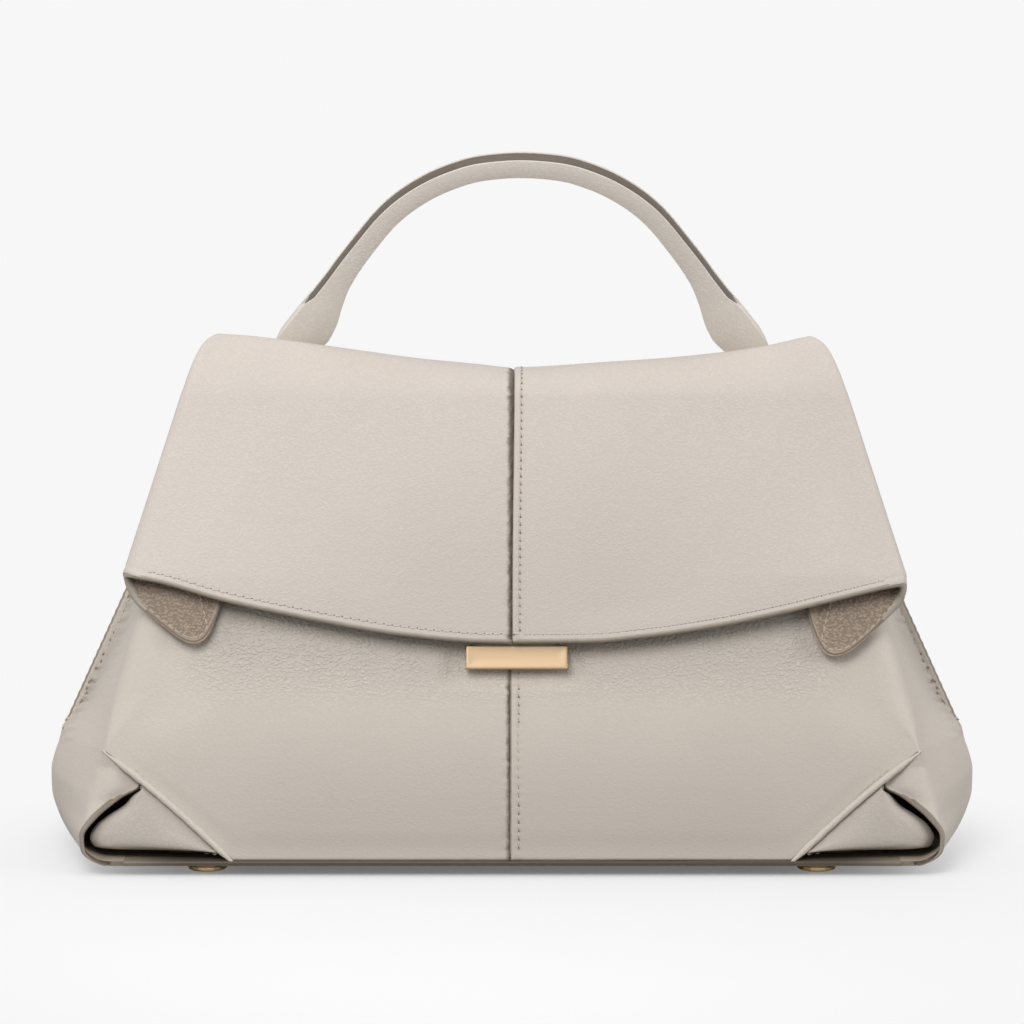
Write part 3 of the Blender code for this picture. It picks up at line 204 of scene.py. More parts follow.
def calf_finish(name, colour, relief, pebble, rough=0.50, crease=0.07, zone=None, seam=None, mark=0.7,
                patchy=1.1):
    """Pebbled calf: small domes, a pebble apart in millimetres, with soft creases between them, and
    a faint drift of tone. In the zone, where one is given, the grain stands out more, and the
    zone's masks darken the grain and the leather with painted shade. Beside the seam the valley is
    darkened with painted shade."""
    material, shader, place = start_finish(name, rough, Specular_IOR_Level=0.32)
    wander = noise(place, 620.0, 2.0, out=1)
    stretched = place.node("ShaderNodeMapping", None, {"Vector": place, "Scale": (0.82, 1.0, 1.18)})
    shifted = stretched.node("ShaderNodeVectorMath", {"operation": "MULTIPLY_ADD"},
                             {0: wander, 1: (0.0012, 0.0012, 0.0012), 2: stretched})
    domes = pebbles(shifted, 1000.0 / pebble)
    fine = noise(place, 2600.0, 3.0)
    patches = noise(place, 14.0, 3.0)
    blotches = noise(place, 55.0, 2.0)
    grain = domes * (noise(place, 130.0, 2.0) * patchy + (0.8 - patchy / 2))
    tone = (patches - 0.5) * 0.35 + (blotches - 0.5) * 0.25 + (fine - 0.5) * 0.3 + 0.62
    marks = (grain - 0.36) * mark
    # Painted shade: the zone's first mask darkens the grain's colour as well as raising it, and its second
    # darkens the leather.
    if zone is not None:
        strong, low = zone(place)
        marks = marks * (strong * 6.0 + 1.0) - strong * 0.25
        grain = grain * (strong * 9.0 + 1.0)
    mixed = set_colour(shader, toned(colour, 0.95 - crease), toned(colour, 1.03), tone + marks)
    if zone is not None:
        mixed = set_colour(shader, mixed, toned(colour, 0.80), low)
    # Painted shade in the valley beside the seam, where the lower half dips under the upper one.
    if seam is not None:
        reach = (seam - axes_of(place)[0]) * 1000.0 - noise(place, 360.0, 3.0, 0.7) * 2.6
        set_colour(shader, mixed, SEAM_SHADE, span(reach, -0.7, 1.2, 0.9, 0.0))
    set_relief(shader, grain + fine * 0.15, 1.0, relief)
    sheen = rough + (patches - 0.5) * 0.12 - (domes - 0.4) * 0.06
    sheen.tree.links.new(sheen.socket, shader.inputs["Roughness"])
    return material


def paint_finish(name, colour):
    """Painted and burnished edge: nearly smooth, with faint brush lines along the layers."""
    material, shader, place = start_finish(name, 0.42, Specular_IOR_Level=0.4)
    set_colour(shader, toned(colour, 0.82), toned(colour, 1.16), noise(place, 260.0, 3.0))
    set_relief(shader, noise(place, 1500.0, 2.0), 0.25, 0.05)
    return material


def mottled_finish(name, low, high, waves, detail, rough, specular, grit=0.5, relief=None):
    """Two tones mixed by fine noise, which may stand up a little too, for fibres and thread."""
    material, shader, place = start_finish(name, rough, Specular_IOR_Level=specular)
    fibres = noise(place, waves, detail, grit)
    set_colour(shader, low, high, fibres)
    if relief:
        set_relief(shader, fibres, *relief)
    return material


def width_and_height(place):
    """The distance from the middle, and the height, in metres."""
    x, _, height = axes_of(place)
    return x.math("ABSOLUTE", x), height


def under_hem(place):
    """Two masks of painted shade: one is strongest just under the flap's hem, away from the sides,
    where the grain also stands out, and one grows to the foot of the bag."""
    wide, height = width_and_height(place)
    return (span(height, 0.058, 0.084) * span(wide, 0.134, 0.108) * span(height, 0.130, 0.100),
            span(height, 0.086, 0.006) * (span(wide, 0.140, 0.080) * 0.45 + 0.5))


def by_pinch(place):
    """The same two masks for a side, with deeper grain and painted shade beside its pinched edge."""
    low = under_hem(place)[1]
    _, depth, height = axes_of(place)
    near = span(depth.math("ABSOLUTE", depth), 0.034, 0.003) * span(height, 0.040, 0.062)
    return near * 0.45, low.math("MAXIMUM", low, near * 0.95)


def flap_painted_shade(place):
    """Two masks: the grain is even, and the middle of the flap near the hem is darkened with painted shade.
    """
    wide, height = width_and_height(place)
    return 0.0, span(height, 0.178, 0.100) * span(wide, 0.160, 0.020) * 0.62


calf = calf_finish("pebbled_calf", CALF, 0.10, 1.05)
flap_calf = calf_finish("flap_calf", FLAP_CALF, 0.10, 1.05, zone=flap_painted_shade)
left_calf = calf_finish("flap_calf_left", FLAP_CALF, 0.10, 1.05, zone=flap_painted_shade, seam=0.0002)
front_calf = calf_finish("front_calf", CALF, 0.05, 1.15, zone=under_hem, mark=0.45)
side_calf = calf_finish("side_calf", CALF, 0.05, 1.15, zone=by_pinch, mark=0.45)
front_left_calf = calf_finish("front_calf_left", CALF, 0.05, 1.15, zone=under_hem, seam=FRONT_SEAM * MM,
                              mark=0.45)
edge_paint = paint_finish("edge_paint", EDGE_PAINT)
flesh = mottled_finish("flesh_side", toned(FLESH, 0.8), toned(FLESH, 1.2), 2600.0, 4.0, 0.9, 0.2, 0.7,
                       (0.5, 0.1))


def curve_through(table, at):
    """A smooth curve through the rows of a table, without overshoot, read at given places."""
    table = np.asarray(table, float)
    xs, ys = table[:, 0], table[:, 1]
    steps = np.diff(xs)
    slopes = np.diff(ys) / steps
    ends = np.concatenate([slopes[:1], slopes, slopes[-1:]])
    same = ends[:-1] * ends[1:] > 0
    safe = np.where(same, ends[:-1] + ends[1:], 1.0)
    tangents = np.where(same, 2 * ends[:-1] * ends[1:] / safe, 0.0)
    at = np.clip(at, xs[0], xs[-1])
    i = np.clip(np.searchsorted(xs, at, side="right") - 1, 0, len(steps) - 1)
    t = (at - xs[i]) / steps[i]
    return (ys[i] * (2 * t ** 3 - 3 * t ** 2 + 1) + ys[i + 1] * (3 * t ** 2 - 2 * t ** 3)
            + steps[i] * (tangents[i] * (t ** 3 - 2 * t ** 2 + t) + tangents[i + 1] * (t ** 3 - t ** 2)))


def ramp(value, low, high):
    """A smooth step from 0 at low to 1 at high."""
    t = np.clip((value - low) / (high - low), 0.0, 1.0)
    return t * t * (3 - 2 * t)


def graded(count, first):
    """Places from 0 to 1 whose spacing grows from the first one."""
    t = np.linspace(0.0, 1.0, count)
    return t * first + (1 - first) * t ** 2


def unit(vectors):
    """Vectors of length one."""
    return vectors / np.maximum(np.linalg.norm(vectors, axis=-1, keepdims=True), 1e-12)


def surface_normals(grid):
    """Outward normals of a grid whose columns run right and rows run up, seen from outside."""
    return unit(np.cross(np.gradient(grid, axis=1), np.gradient(grid, axis=0)))


def path_length(points):
    """How far along a line of points each one lies, or down each column of a grid."""
    steps = np.linalg.norm(np.diff(points, axis=0), axis=-1)
    return np.concatenate([np.zeros_like(steps[:1]), np.cumsum(steps, axis=0)])


def mirrored(grid):
    """The same grid on the other side of the bag."""
    return grid[:, ::-1] * np.array((-1.0, 1.0, 1.0))


def on_side(side, grid, relief):
    """A grid that is drawn for the right side, and its relief, as they lie on either side."""
    return (grid, relief) if side > 0 else (mirrored(grid), relief[:, ::-1])


def add_piece(name, mesh, finishes, body, replaced):
    """Put a mesh in the scene as a finished piece on its body."""
    for finish in finishes:
        mesh.materials.append(finish)
    piece = bpy.data.objects.new(name, mesh)
    bpy.context.scene.collection.objects.link(piece)
    if body:
        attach(piece, body)
    if replaced:
        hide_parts(*replaced)
    return piece


def raw_mesh(name, points, faces, looks, sharp=60.0):
    """A smooth-shaded mesh from points in millimetres, with a material for each face."""
    mesh = bpy.data.meshes.new(name)
    mesh.from_pydata((np.asarray(points) * MM).tolist(), [], faces)
    mesh.polygons.foreach_set("material_index", looks)
    mesh.polygons.foreach_set("use_smooth", [True] * len(faces))
    mesh.set_sharp_from_angle(angle=math.radians(sharp))
    mesh.update()
    return mesh


def leather_sheet(name, outer, thickness, relief=None, rim=ROUND_RIM, round_share=None, border=(0, 0),
                  painted=None):
    """A sheet of leather: its grain side is the grid, its flesh side lies a thickness inside, and
    a rounded, painted rim joins them. The rounding may vary with the place. The border gives the
    rows at the foot and the columns at both ends whose flesh side takes the rim's finish, and
    painted marks the faces of the grain side that do."""
    normals = surface_normals(outer)
    if relief is not None:
        outer = outer + normals * relief[..., None]
    rows, columns = outer.shape[:2]
    inner = outer - normals * thickness
    index = np.arange(rows * columns).reshape(rows, columns)
    quads = np.stack([index[:-1, :-1], index[:-1, 1:], index[1:, 1:], index[1:, :-1]], -1)
    inner_looks = np.full(quads.shape[:2], 2)
    inner_looks[:border[0]] = 1
    inner_looks[:, :border[1]] = 1
    inner_looks[:, columns - 1 - border[1]:] = 1
    quads = quads.reshape(-1, 4)
    loop = np.concatenate([index[0], index[1:, -1], index[-1, -2::-1], index[-2:0:-1, 0]])
    outward = np.zeros_like(outer)
    outward[0] += unit(outer[0] - outer[1])
    outward[-1] += unit(outer[-1] - outer[-2])
    outward[:, 0] += unit(outer[:, 0] - outer[:, 1])
    outward[:, -1] += unit(outer[:, -1] - outer[:, -2])
    flat_out, flat_in = outer.reshape(-1, 3), inner.reshape(-1, 3)
    flat_normal, flat_outward = normals.reshape(-1, 3), unit(outward.reshape(-1, 3))
    points = [flat_out, flat_in]
    rings = [loop]
    share = np.ones(len(loop)) if round_share is None else round_share(flat_out[loop])
    for depth, bulge in rim:
        ring = (flat_out[loop] - flat_normal[loop] * thickness * depth
                + flat_outward[loop] * (thickness * bulge * share)[:, None])
        rings.append(sum(len(p) for p in points) + np.arange(len(loop)))
        points.append(ring)
    rings.append(loop + rows * columns)
    rim_quads = [np.stack([a, b, np.roll(b, -1), np.roll(a, -1)], -1) for a, b in zip(rings, rings[1:])]
    faces = np.concatenate([quads, quads[:, ::-1] + rows * columns, *rim_quads])
    outer_looks = np.zeros(len(quads), int) if painted is None else painted.ravel().astype(int)
    index_of_look = np.concatenate([outer_looks, inner_looks.ravel(),
                                    np.full(len(loop) * (len(rim) + 1), 1)])
    return raw_mesh(name, np.concatenate(points), faces.tolist(), index_of_look.tolist())


def half_depth(z):
    """Half depth of the body's flat faces at a height."""
    return FOOT_DEPTH - LEAN * (z - BASE_TOP)


def front_face(z):
    """The front face, drawn in a little towards the mouth."""
    return -half_depth(z) + DRAWN_IN * (np.maximum(0.0, z - DRAWN_FROM) / (MOUTH - DRAWN_FROM)) ** 2


def crease(z):
    """Half width at the soft crease between a face and the side."""
    return CREASE_FOOT - CREASE_LEAN * (z - CORNER)


def fullness(z):
    """How round the side stands: full at the base, and flat towards the mouth."""
    return 1.0 - ramp(z, 24.0, 86.0)


def crease_round(z):
    """How far the crease's rounding reaches, which fades out at the corner's ridge."""
    return 9.0 * ramp(z, CORNER, CORNER + 22.0) + 0.4


def panel_edge(z):
    """Half width where the flat face meets the rounded crease."""
    return crease(z) - 1.3 * crease_round(z)


def ridge_line(x):
    """Height of the corner's diagonal ridge, which arches a little."""
    along = np.clip((x - RIDGE_START) / (CREASE_FOOT - RIDGE_START), 0.0, 1.0)
    return RIDGE_LOW + RIDGE_SLOPE * (x - RIDGE_START) + RIDGE_ARCH * np.sin(np.pi * along)


def soft_waves(x, z, size):
    """The slow swell of leather that stands by itself."""
    return size * (np.sin(x / 41.0 + 0.9) * np.sin(z / 29.0 + 0.6) + 0.5 * np.sin(x / 23.0 - z / 37.0))


def seam_relief(away, along, over):
    """Leather beside a middle seam: the upper half's turned lip and stitch groove, or the lower
    half's dip with small puckers that fade away from the seam."""
    if over:
        lip = 0.55 * ramp(away, -0.1, 0.9) * (1 - ramp(away, 1.6, 4.4))
        groove = -0.34 * np.exp(-((away - SEAM_STITCH) / 0.6) ** 2)
        pull = -0.09 * np.exp(-((away - SEAM_STITCH) / 1.6) ** 2) * np.cos(2 * np.pi * along / PITCH)
        return lip + groove + pull
    ragged = 1.0 + 0.35 * np.sin(along / 1.9 + 1.3 * np.sin(along / 4.7)) + 0.2 * np.sin(along / 0.71)
    dip = -1.15 * np.exp(-(away / (1.15 * ragged)) ** 2)
    crumple = (np.sin(2 * np.pi * along / PITCH + 1.7 * np.sin(along / 5.3))
               + 0.6 * np.sin(along / 0.83 + away))
    return dip - 0.12 * crumple * np.exp(-away / 2.4)


def round_at_seam(points):
    """Full rounding at the middle, and none where a face runs on into the side."""
    return np.where(np.abs(points[:, 0]) > 112.0, 0.0, 1.0)


def panel_foot(start):
    """A face's columns from its middle seam to the crease: their shares, and their places and
    heights along the foot, where the corner's ridge cuts the face off."""
    across = graded(PANEL_COLUMNS, 0.32)
    foot_x = start + (panel_edge(CORNER) - start) * across
    return across, foot_x, np.maximum(PANEL_FOOT, ridge_line(foot_x) + 1.1)


def front_half(side):
    """The grid and relief of one half of the front, drawn for the right side. The leather swells
    a little, and lies flat behind the press bar."""
    start = side * FRONT_SEAM + SEAM_GAP / 2
    across, foot_x, foot_z = panel_foot(start)
    rows = np.linspace(0.0, 1.0, FRONT_ROWS)[:, None]
    z = foot_z + (MOUTH - foot_z) * rows
    x = foot_x + across * (panel_edge(z) - panel_edge(foot_z))
    grid = np.stack([x, front_face(z), z], -1)
    away = x - start
    relief = seam_relief(away, z, side > 0) + soft_waves(side * x, z, 0.5) * ramp(away, 22.0, 60.0)
    up = np.clip((z - foot_z) / (FRONT_FULL_TOP - foot_z), 0.0, 1.0)
    relief = relief + FRONT_FULL * np.sin(np.pi * up) * ramp(up, 0.0, 0.12)
    relief = relief * (1 - ramp(x, panel_edge(z) - 30.0, panel_edge(z) - 1.0))
    behind_bar = (1 - ramp(np.abs(x), 22.0, 30.0)) * (1 - ramp(np.abs(z - BAR_BED), 5.5, 12.5))
    return grid, relief * (1 - behind_bar) - 0.2 * behind_bar


def add_face(end, half, finishes):
    """Add the two halves of the front or of the back."""
    for (side, word), finish in zip(SIDES, finishes):
        name = f"{end}_leather_{word}"
        grid, relief = on_side(side, *half(side))
        mesh = leather_sheet(name, grid, LEATHER, relief, round_share=round_at_seam)
        add_piece(name, mesh, (finish, edge_paint, flesh), "bag_body",
                  (f"{end}_panel_{word}",))


add_face("front", front_half, (front_left_calf, front_calf))


# The back face: two more halves of the same leather, which run up behind the mouth to the roll at
# the top. The bag stands open along its front edge only.
BACK_ROWS = 180


def back_half(side):
    """The grid and relief of one half of the back, drawn for the right side, as seen from behind."""
    start = side * BACK_SEAM + SEAM_GAP / 2
    across, foot_x, foot_z = panel_foot(start)
    rows = np.linspace(0.0, 1.0, BACK_ROWS)[:, None]
    z = foot_z + (SPRING - 0.1 - foot_z) * rows
    above = np.clip((z - MOUTH) / (SPRING - MOUTH), 0.0, 1.0)
    edge = panel_edge(np.minimum(z, MOUTH)) * (1 - above) + TOP_HALF * above
    x = foot_x + across * (edge - panel_edge(foot_z))
    away = x - start
    relief = seam_relief(away, z, side > 0) + soft_waves(side * x + 17.0, z, 0.5) * ramp(away, 22.0, 60.0)
    fade = (1 - ramp(x, edge - 14.0, edge - 1.0)) * (1 - 0.8 * ramp(z, 165.0, SPRING))
    return np.stack([x, half_depth(z), z], -1)[:, ::-1], (relief * fade)[:, ::-1]


add_face("back", back_half, (calf, calf))


# The sides: each is one leather that starts at the mouth as a folded gusset, opens out below the
# last stitch, and wraps round the lower corner to the base. Its free edge stands away from the
# tucked corner and shows two painted layers.
WRAP_EDGE = ((0.0, 153.4, 43.6), (1.0, 147.2, 38.6), (2.0, 141.6, 32.8), (3.0, 149.0, 28.2),
             (4.0, 158.0, 21.0), (5.0, 162.6, 14.6), (6.0, 162.0, 9.6), (7.0, 158.0, 5.6),
             (8.0, 152.6, 4.0), (9.0, 146.2, 4.0))
WRAP_MIDDLE = ((0.0, 176.4, 43.3), (1.0, 178.4, 38.2), (2.0, 180.3, 32.8), (3.0, 181.3, 27.7),
               (4.0, 181.1, 20.5), (5.0, 179.0, 14.0), (6.0, 175.9, 9.0), (7.0, 170.2, 5.2),
               (8.0, 162.4, 4.0), (9.0, 146.2, 4.0))
WRAP_FOLD = ((0.0, 154.6, 0.0), (1.0, 155.6, 1.2), (2.0, 156.8, 2.4), (3.0, 158.4, 1.6), (4.0, 161.0, 0.5),
             (5.0, 163.6, 0.0), (6.0, 163.0, 0.0), (7.0, 158.8, 0.0), (8.0, 153.2, 0.0), (9.0, 146.8, 0.0))
WRAP_RIM = ((0.06, 0.22), (0.20, 0.34), (0.38, 0.30), (0.50, 0.02), (0.60, 0.28), (0.78, 0.36),
            (0.93, 0.22))
WRAP_PAINT = (0.270, 0.226, 0.176)
# The next tone is painted shade for the edges along the base.
STRIP_PAINTED_SHADE = (0.088, 0.069, 0.052)
SIDE_COLUMNS = 34
LEG_POINTS = 201
WRAP_ROWS = 92
PINCH_FOOT = 172.9


def column_of(table, column, at):
    """One column of a table as a smooth curve over its first column."""
    return curve_through([(row[0], row[column]) for row in table], at)


def pinch_x(z):
    """Half width at the root of the pinched edge."""
    return PINCH_FOOT + (TOP_HALF - PINCH_FOOT) * (z - CORNER) / (MOUTH - CORNER)


def middle_x(z):
    """Half width at the side's middle, where the leather opens out below the pinched edge."""
    return pinch_x(z) + 3.0 * (1.0 - ramp(z, 40.0, 58.0))


def half_row(fold, middle, z, depth, shape):
    """Points from a side's fold to its middle, seen from above: straight, or round where the side
    opens out."""
    t = np.sin(np.linspace(0.0, math.pi / 2, LEG_POINTS)) ** 2
    spread = middle - fold
    flat = np.array(((fold + spread / 3, depth * 2 / 3), (fold + spread * 2 / 3, depth / 3)))
    open_out = 0.13 + 0.19 * float(ramp(z, 12.0, 34.0))
    full = np.array(((fold + open_out * spread, depth * 0.80), (middle, depth * 0.44)))
    a, b = flat + (full - flat) * shape
    return (np.outer((1 - t) ** 3, (fold, depth)) + np.outer(3 * t * (1 - t) ** 2, a)
            + np.outer(3 * t ** 2 * (1 - t), b) + np.outer(t ** 3, (middle, 0.0)))


def side_half_row(edge, middle, fold, depth, shape, reach, dip):
    """Points from a side's edge, flat to its soft fold and then round to its middle. The flat part
    dips in towards the edge."""
    leg = half_row(fold, middle[0], edge[1], depth, shape)
    length = path_length(leg)
    spare = fold - edge[0]
    t = np.sin(np.linspace(0.0, math.pi / 2, SIDE_COLUMNS + 1)) ** 2
    s = t * (length[-1] + spare) - spare
    inward = -np.sign(depth) * dip

    def flat(at):
        return np.column_stack([fold + at, depth + inward * ramp(-at / spare, 0.1, 1.0) ** 1.5])

    def bent(at):
        return np.column_stack([np.interp(at, length, leg[:, k]) for k in (0, 1)])

    k = np.clip((s + reach) / (2 * reach), 0.0, 1.0)[:, None]
    before, after = flat(np.full(1, -reach)), bent(np.full(1, reach))
    turn = (1 - k) ** 2 * before + 2 * k * (1 - k) * (fold, depth) + k ** 2 * after
    line = np.where(s[:, None] < -reach, flat(s), np.where(s[:, None] > reach, bent(s), turn))
    z = edge[1] + (middle[1] - edge[1]) * np.clip(s / length[-1], 0.0, 1.0)
    return np.column_stack([line, z])


def side_grid():
    """The right side, from the base seam up to the mouth, and from front to back."""
    rows = []
    for q in np.linspace(9.0, 0.0, WRAP_ROWS):
        edge, middle, (fold, dip) = ([float(column_of(table, k, q)) for k in (1, 2)]
                                     for table in (WRAP_EDGE, WRAP_MIDDLE, WRAP_FOLD))
        fold = max(fold, edge[0] + 0.5)
        reach = min(6.0, 0.8 * (fold - edge[0]))
        depth = min(half_depth(edge[1]), 74.3)
        half = side_half_row(edge, middle, fold, -depth, float(fullness(edge[1])), reach, dip)
        rows.append(np.vstack([half, half[-2::-1] * (1, -1, 1)]))
    for z in np.arange(CORNER, MOUTH + 0.01, 0.8):
        halves = [side_half_row((panel_edge(z), z), (middle_x(z), z), crease(z), depth,
                                float(fullness(z)), crease_round(z), 0.0)
                  for depth in (float(front_face(z)), float(half_depth(z)))]
        rows.append(np.vstack([halves[0], halves[1][-2::-1]]))
    return np.array(rows)


def side_relief(grid):
    """The leather's swell, the flare into the pinched edge, and the wrinkles that its stitches pull."""
    y, z = grid[..., 1], grid[..., 2]
    sewn = ramp(z, 37.0, 45.0)
    flare = 0.9 * np.exp(-(y / 1.9) ** 2) * sewn
    away = np.abs(y)
    along = z - 0.42 * away + 1.4 * np.sin(z / 9.0) + 0.9 * np.sin(away / 6.0 + z / 5.0)
    wrinkle = (np.sin(2 * np.pi * along / 5.2)
               + 0.7 * np.sin(2 * np.pi * along / 3.1 + 0.9 * np.sin(away / 7.0))
               + 0.4 * np.sin(2 * np.pi * along / 2.0 + away / 3.0))
    patch = 0.6 + 0.4 * np.sin(z / 7.3 + away / 9.0)
    pulled = 0.80 * wrinkle * patch * np.exp(-away / 14.0) * (1 - np.exp(-away / 1.0)) * sewn
    from_middle = np.abs(np.arange(grid.shape[1]) - SIDE_COLUMNS)
    rim = ramp(from_middle, SIDE_COLUMNS, SIDE_COLUMNS - 9.0)
    return (flare + pulled) * rim[None, :]


def round_below_crease(points):
    """Full rounding on the free edge and at the mouth, and none where the side meets a face."""
    return np.where((points[:, 2] > CORNER - 0.5) & (points[:, 2] < MOUTH - 0.5), 0.0, 1.0)


def strip_finish(name):
    """Edge paint, with painted shade along the base that leaves it lighter round the corners."""
    material = paint_finish(name, WRAP_PAINT)
    shader = material.node_tree.nodes["Principled BSDF"]
    under = Finish(material.node_tree, shader.inputs["Base Color"].links[0].from_socket)
    place = under.node("ShaderNodeTexCoord", out=3)
    wide, height = width_and_height(place)
    # Painted shade along the base, low down and away from the corners.
    set_colour(shader, under, STRIP_PAINTED_SHADE, span(wide, 0.157, 0.122) * span(height, 0.020, 0.006))
    return material


wrap_paint = strip_finish("wrap_edge_paint")
side_surface = side_grid()
side_detail = side_relief(side_surface)
side_place = np.arange(side_surface.shape[1] - 1)
from_edge = np.minimum(side_place, side_surface.shape[1] - 2 - side_place)
edge_height = side_surface[:-1, :1, 2]
side_painted = from_edge[None, :] < 4 * (1 - ramp(edge_height, 25.0, 33.0)) * ramp(edge_height, 3.5, 8.0)
for side, word in SIDES:
    grid, relief = on_side(side, side_surface, side_detail)
    mesh = leather_sheet("side_leather_" + word, grid, LEATHER + 0.2, relief, WRAP_RIM, round_below_crease,
                         painted=side_painted)
    add_piece("side_leather_" + word, mesh, (side_calf, wrap_paint, flesh), "bag_body",
              ("side_wrap_" + word,))


# The pinched edge down each side: the gusset's two leathers are drawn together, sewn through from
# front to back, and left standing proud with painted raw edges.
PINCH_PROFILE = ((-1.6, -1.25), (-0.6, -1.38), (0.6, -1.45), (1.5, -1.42), (2.15, -1.15), (2.4, -0.75),
                 (2.3, -0.3), (1.75, 0.0), (2.3, 0.3), (2.4, 0.75), (2.15, 1.15), (1.5, 1.42), (0.6, 1.45),
                 (-0.6, 1.38), (-1.6, 1.25))


def ring_mesh(name, rings, looks_of_sides=None, sharp=60.0):
    """A closed solid through rings of points, with flat ends."""
    rings = np.asarray(rings)
    count, size = rings.shape[:2]
    index = np.arange(count * size).reshape(count, size)
    a, b = index[:-1], index[1:]
    sides = np.stack([a, np.roll(a, -1, 1), np.roll(b, -1, 1), b], -1)
    looks = np.zeros(sides.shape[:2], int)
    if looks_of_sides is not None:
        looks[:] = looks_of_sides
    faces = sides.reshape(-1, 4).tolist() + [index[0][::-1].tolist(), index[-1].tolist()]
    looks = looks.ravel().tolist() + [1, 1]
    mesh = raw_mesh(name, rings.reshape(-1, 3), faces, looks, sharp)
    check = bmesh.new()
    check.from_mesh(mesh)
    if check.calc_volume(signed=True) < 0:
        bmesh.ops.reverse_faces(check, faces=check.faces)
        check.to_mesh(mesh)
    check.free()
    return mesh


def pinched_edge(side):
    """Rings down the side, drawn in towards both ends."""
    rings = []
    for z in np.arange(39.6, MOUTH - 2.6, 1.0):
        root = float(pinch_x(z))
        size = 0.35 + 0.65 * float(ramp(z, 39.0, 46.0))
        lift = 0.12 * math.sin(2 * math.pi * z / 3.3)
        rings.append([(side * (root + 0.9 + (out + (lift if out > 1.0 else 0.0)) * size), y * size, z)
                      for out, y in PINCH_PROFILE])
    return rings


edge_looks = [0] * 3 + [1] * 8 + [0] * 4
for side, word in SIDES:
    mesh = ring_mesh("side_edge_" + word, pinched_edge(side), edge_looks)
    add_piece("side_edge_" + word, mesh, (calf, wrap_paint), "bag_body",
              ("side_seam_" + word,))


# The lower corners: under each diagonal ridge the leather is tucked in behind the side's free
# edge, so that it puffs out softly and runs into the dark; its darker tone is painted shade. The
# ridge itself is a narrow pinched fold, sewn along its upper side.
FOLD_SPREAD = ((0.0, 0.16), (0.12, 0.06), (0.3, 0.0), (0.5, 0.02), (0.68, 0.09), (0.82, 0.24), (0.92, 0.48),
               (1.0, 1.0))
FOLD_EDGE = ((0.0, 139.8, 31.2), (0.10, 144.0, 28.4), (0.20, 147.4, 24.6), (0.31, 153.6, 20.8),
             (0.41, 158.2, 17.2), (0.51, 160.2, 12.8), (0.60, 158.0, 9.4), (0.70, 150.6, 8.7),
             (0.84, 133.0, 8.7), (1.0, 110.2, 8.6))
RIDGE_TIP = 155.3
RIDGE_FOOT = 105.0
RECESS = 7.0
# The tucked leather is the calf toned darker: painted shade in its recess.
shaded_fold_leather = calf_finish("tucked_calf_painted_shade", toned(CALF, 0.81), 0.06, 1.15)


def tucked_corner():
    """The grid of the front right corner, from its hidden edge up to the ridge."""
    along = np.linspace(0.972, 0.020, 70)
    spread = np.linspace(1.0, 0.0, 30)[:, None]
    edge_x, edge_z = (column_of(FOLD_EDGE, k, along) for k in (1, 2))
    ridge_x = 140.6 + (110.6 - 140.6) * along
    ridge_z = ridge_line(ridge_x) - 1.2
    x = ridge_x + (edge_x - ridge_x) * spread
    z = ridge_z + (edge_z - ridge_z) * spread
    recess = RECESS * curve_through(FOLD_SPREAD, spread + 0 * along)
    puff = 0.7 * np.sin(np.pi * np.clip(spread / 0.8, 0, 1)) * np.sin(np.pi * along) ** 0.6
    return np.stack([x, -half_depth(z) + recess - puff, z], -1)


def ridge_rings():
    """Rings along the front right ridge, from its foot at the base up to its tip on the crease."""
    rings = []
    outward = np.array((0.0, -LEAN_COS, LEAN_SIN))
    across = np.cross(unit(np.array((1.0, LEAN * RIDGE_SLOPE, RIDGE_SLOPE))), outward)
    for t in np.linspace(0.0, 1.0, 64):
        x = RIDGE_FOOT + (RIDGE_TIP - RIDGE_FOOT) * t
        z = float(ridge_line(x)) + 0.2
        y = float(front_face(z))
        size = 0.35 + 0.65 * float(ramp(t, -0.02, 0.12) * (1 - ramp(t, 0.80, 1.01)))
        ring = []
        for angle in np.linspace(0.0, 2 * math.pi, 16, endpoint=False):
            wide, proud = 1.20 * math.cos(angle), 1.05 * math.sin(angle)
            bumps = 1.0 + 0.05 * math.sin(61.0 * t + math.cos(angle))
            ring.append(np.array((x, y, z)) + size * bumps * (across * wide + outward * (proud + 0.1)))
        rings.append(ring)
    return np.array(rings)


corner_grid = tucked_corner()
corner_ridge = ridge_rings()
for side, word in SIDES:
    for facing, end in ((1, "front"), (-1, "back")):
        flip = np.array((side, facing, 1.0))
        grid = corner_grid * flip
        if side * facing < 0:
            grid = grid[:, ::-1]
        name = end + "_" + word
        mesh = leather_sheet("tucked_corner_" + name, grid, 1.3)
        add_piece("tucked_corner_" + name, mesh, (shaded_fold_leather, edge_paint, flesh), "bag_body",
                  ("corner_fold_" + name,))
        mesh = ring_mesh("corner_ridge_" + name, corner_ridge * flip)
        add_piece("corner_ridge_" + name, mesh, (calf, calf), "bag_body",
                  ("corner_seam_" + name,))


# The flap: two halves of calf, 1.4 mm, that roll over the top of the bag, hang down its front, and
# are folded back at the sides as wings. The hem sweeps up to the folds. The right half is sewn
# over the left one, and a grained lining leather backs them both.
FLAP_SEAM = 0.2
FLAP_TOP_OUT = 18.4
FLAP_STAND_TOP = 1.65
FLAP_STAND_LOW = 9.27
FLAP_SLOPE = LEAN + (FLAP_STAND_LOW - FLAP_STAND_TOP) / (0.504 * SPRING)
HEM_LEFT = ((0.0, 86.9), (0.08, 87.1), (0.30, 89.9), (0.46, 93.5), (0.62, 97.9), (0.77, 102.5),
            (0.93, 108.9), (1.0, 110.9))
HEM_RIGHT = ((0.0, 86.9), (0.20, 87.2), (0.36, 89.3), (0.52, 92.6), (0.68, 97.0), (0.83, 102.0),
             (0.94, 105.8), (1.0, 107.8))
HEM_CORNER = 110.7
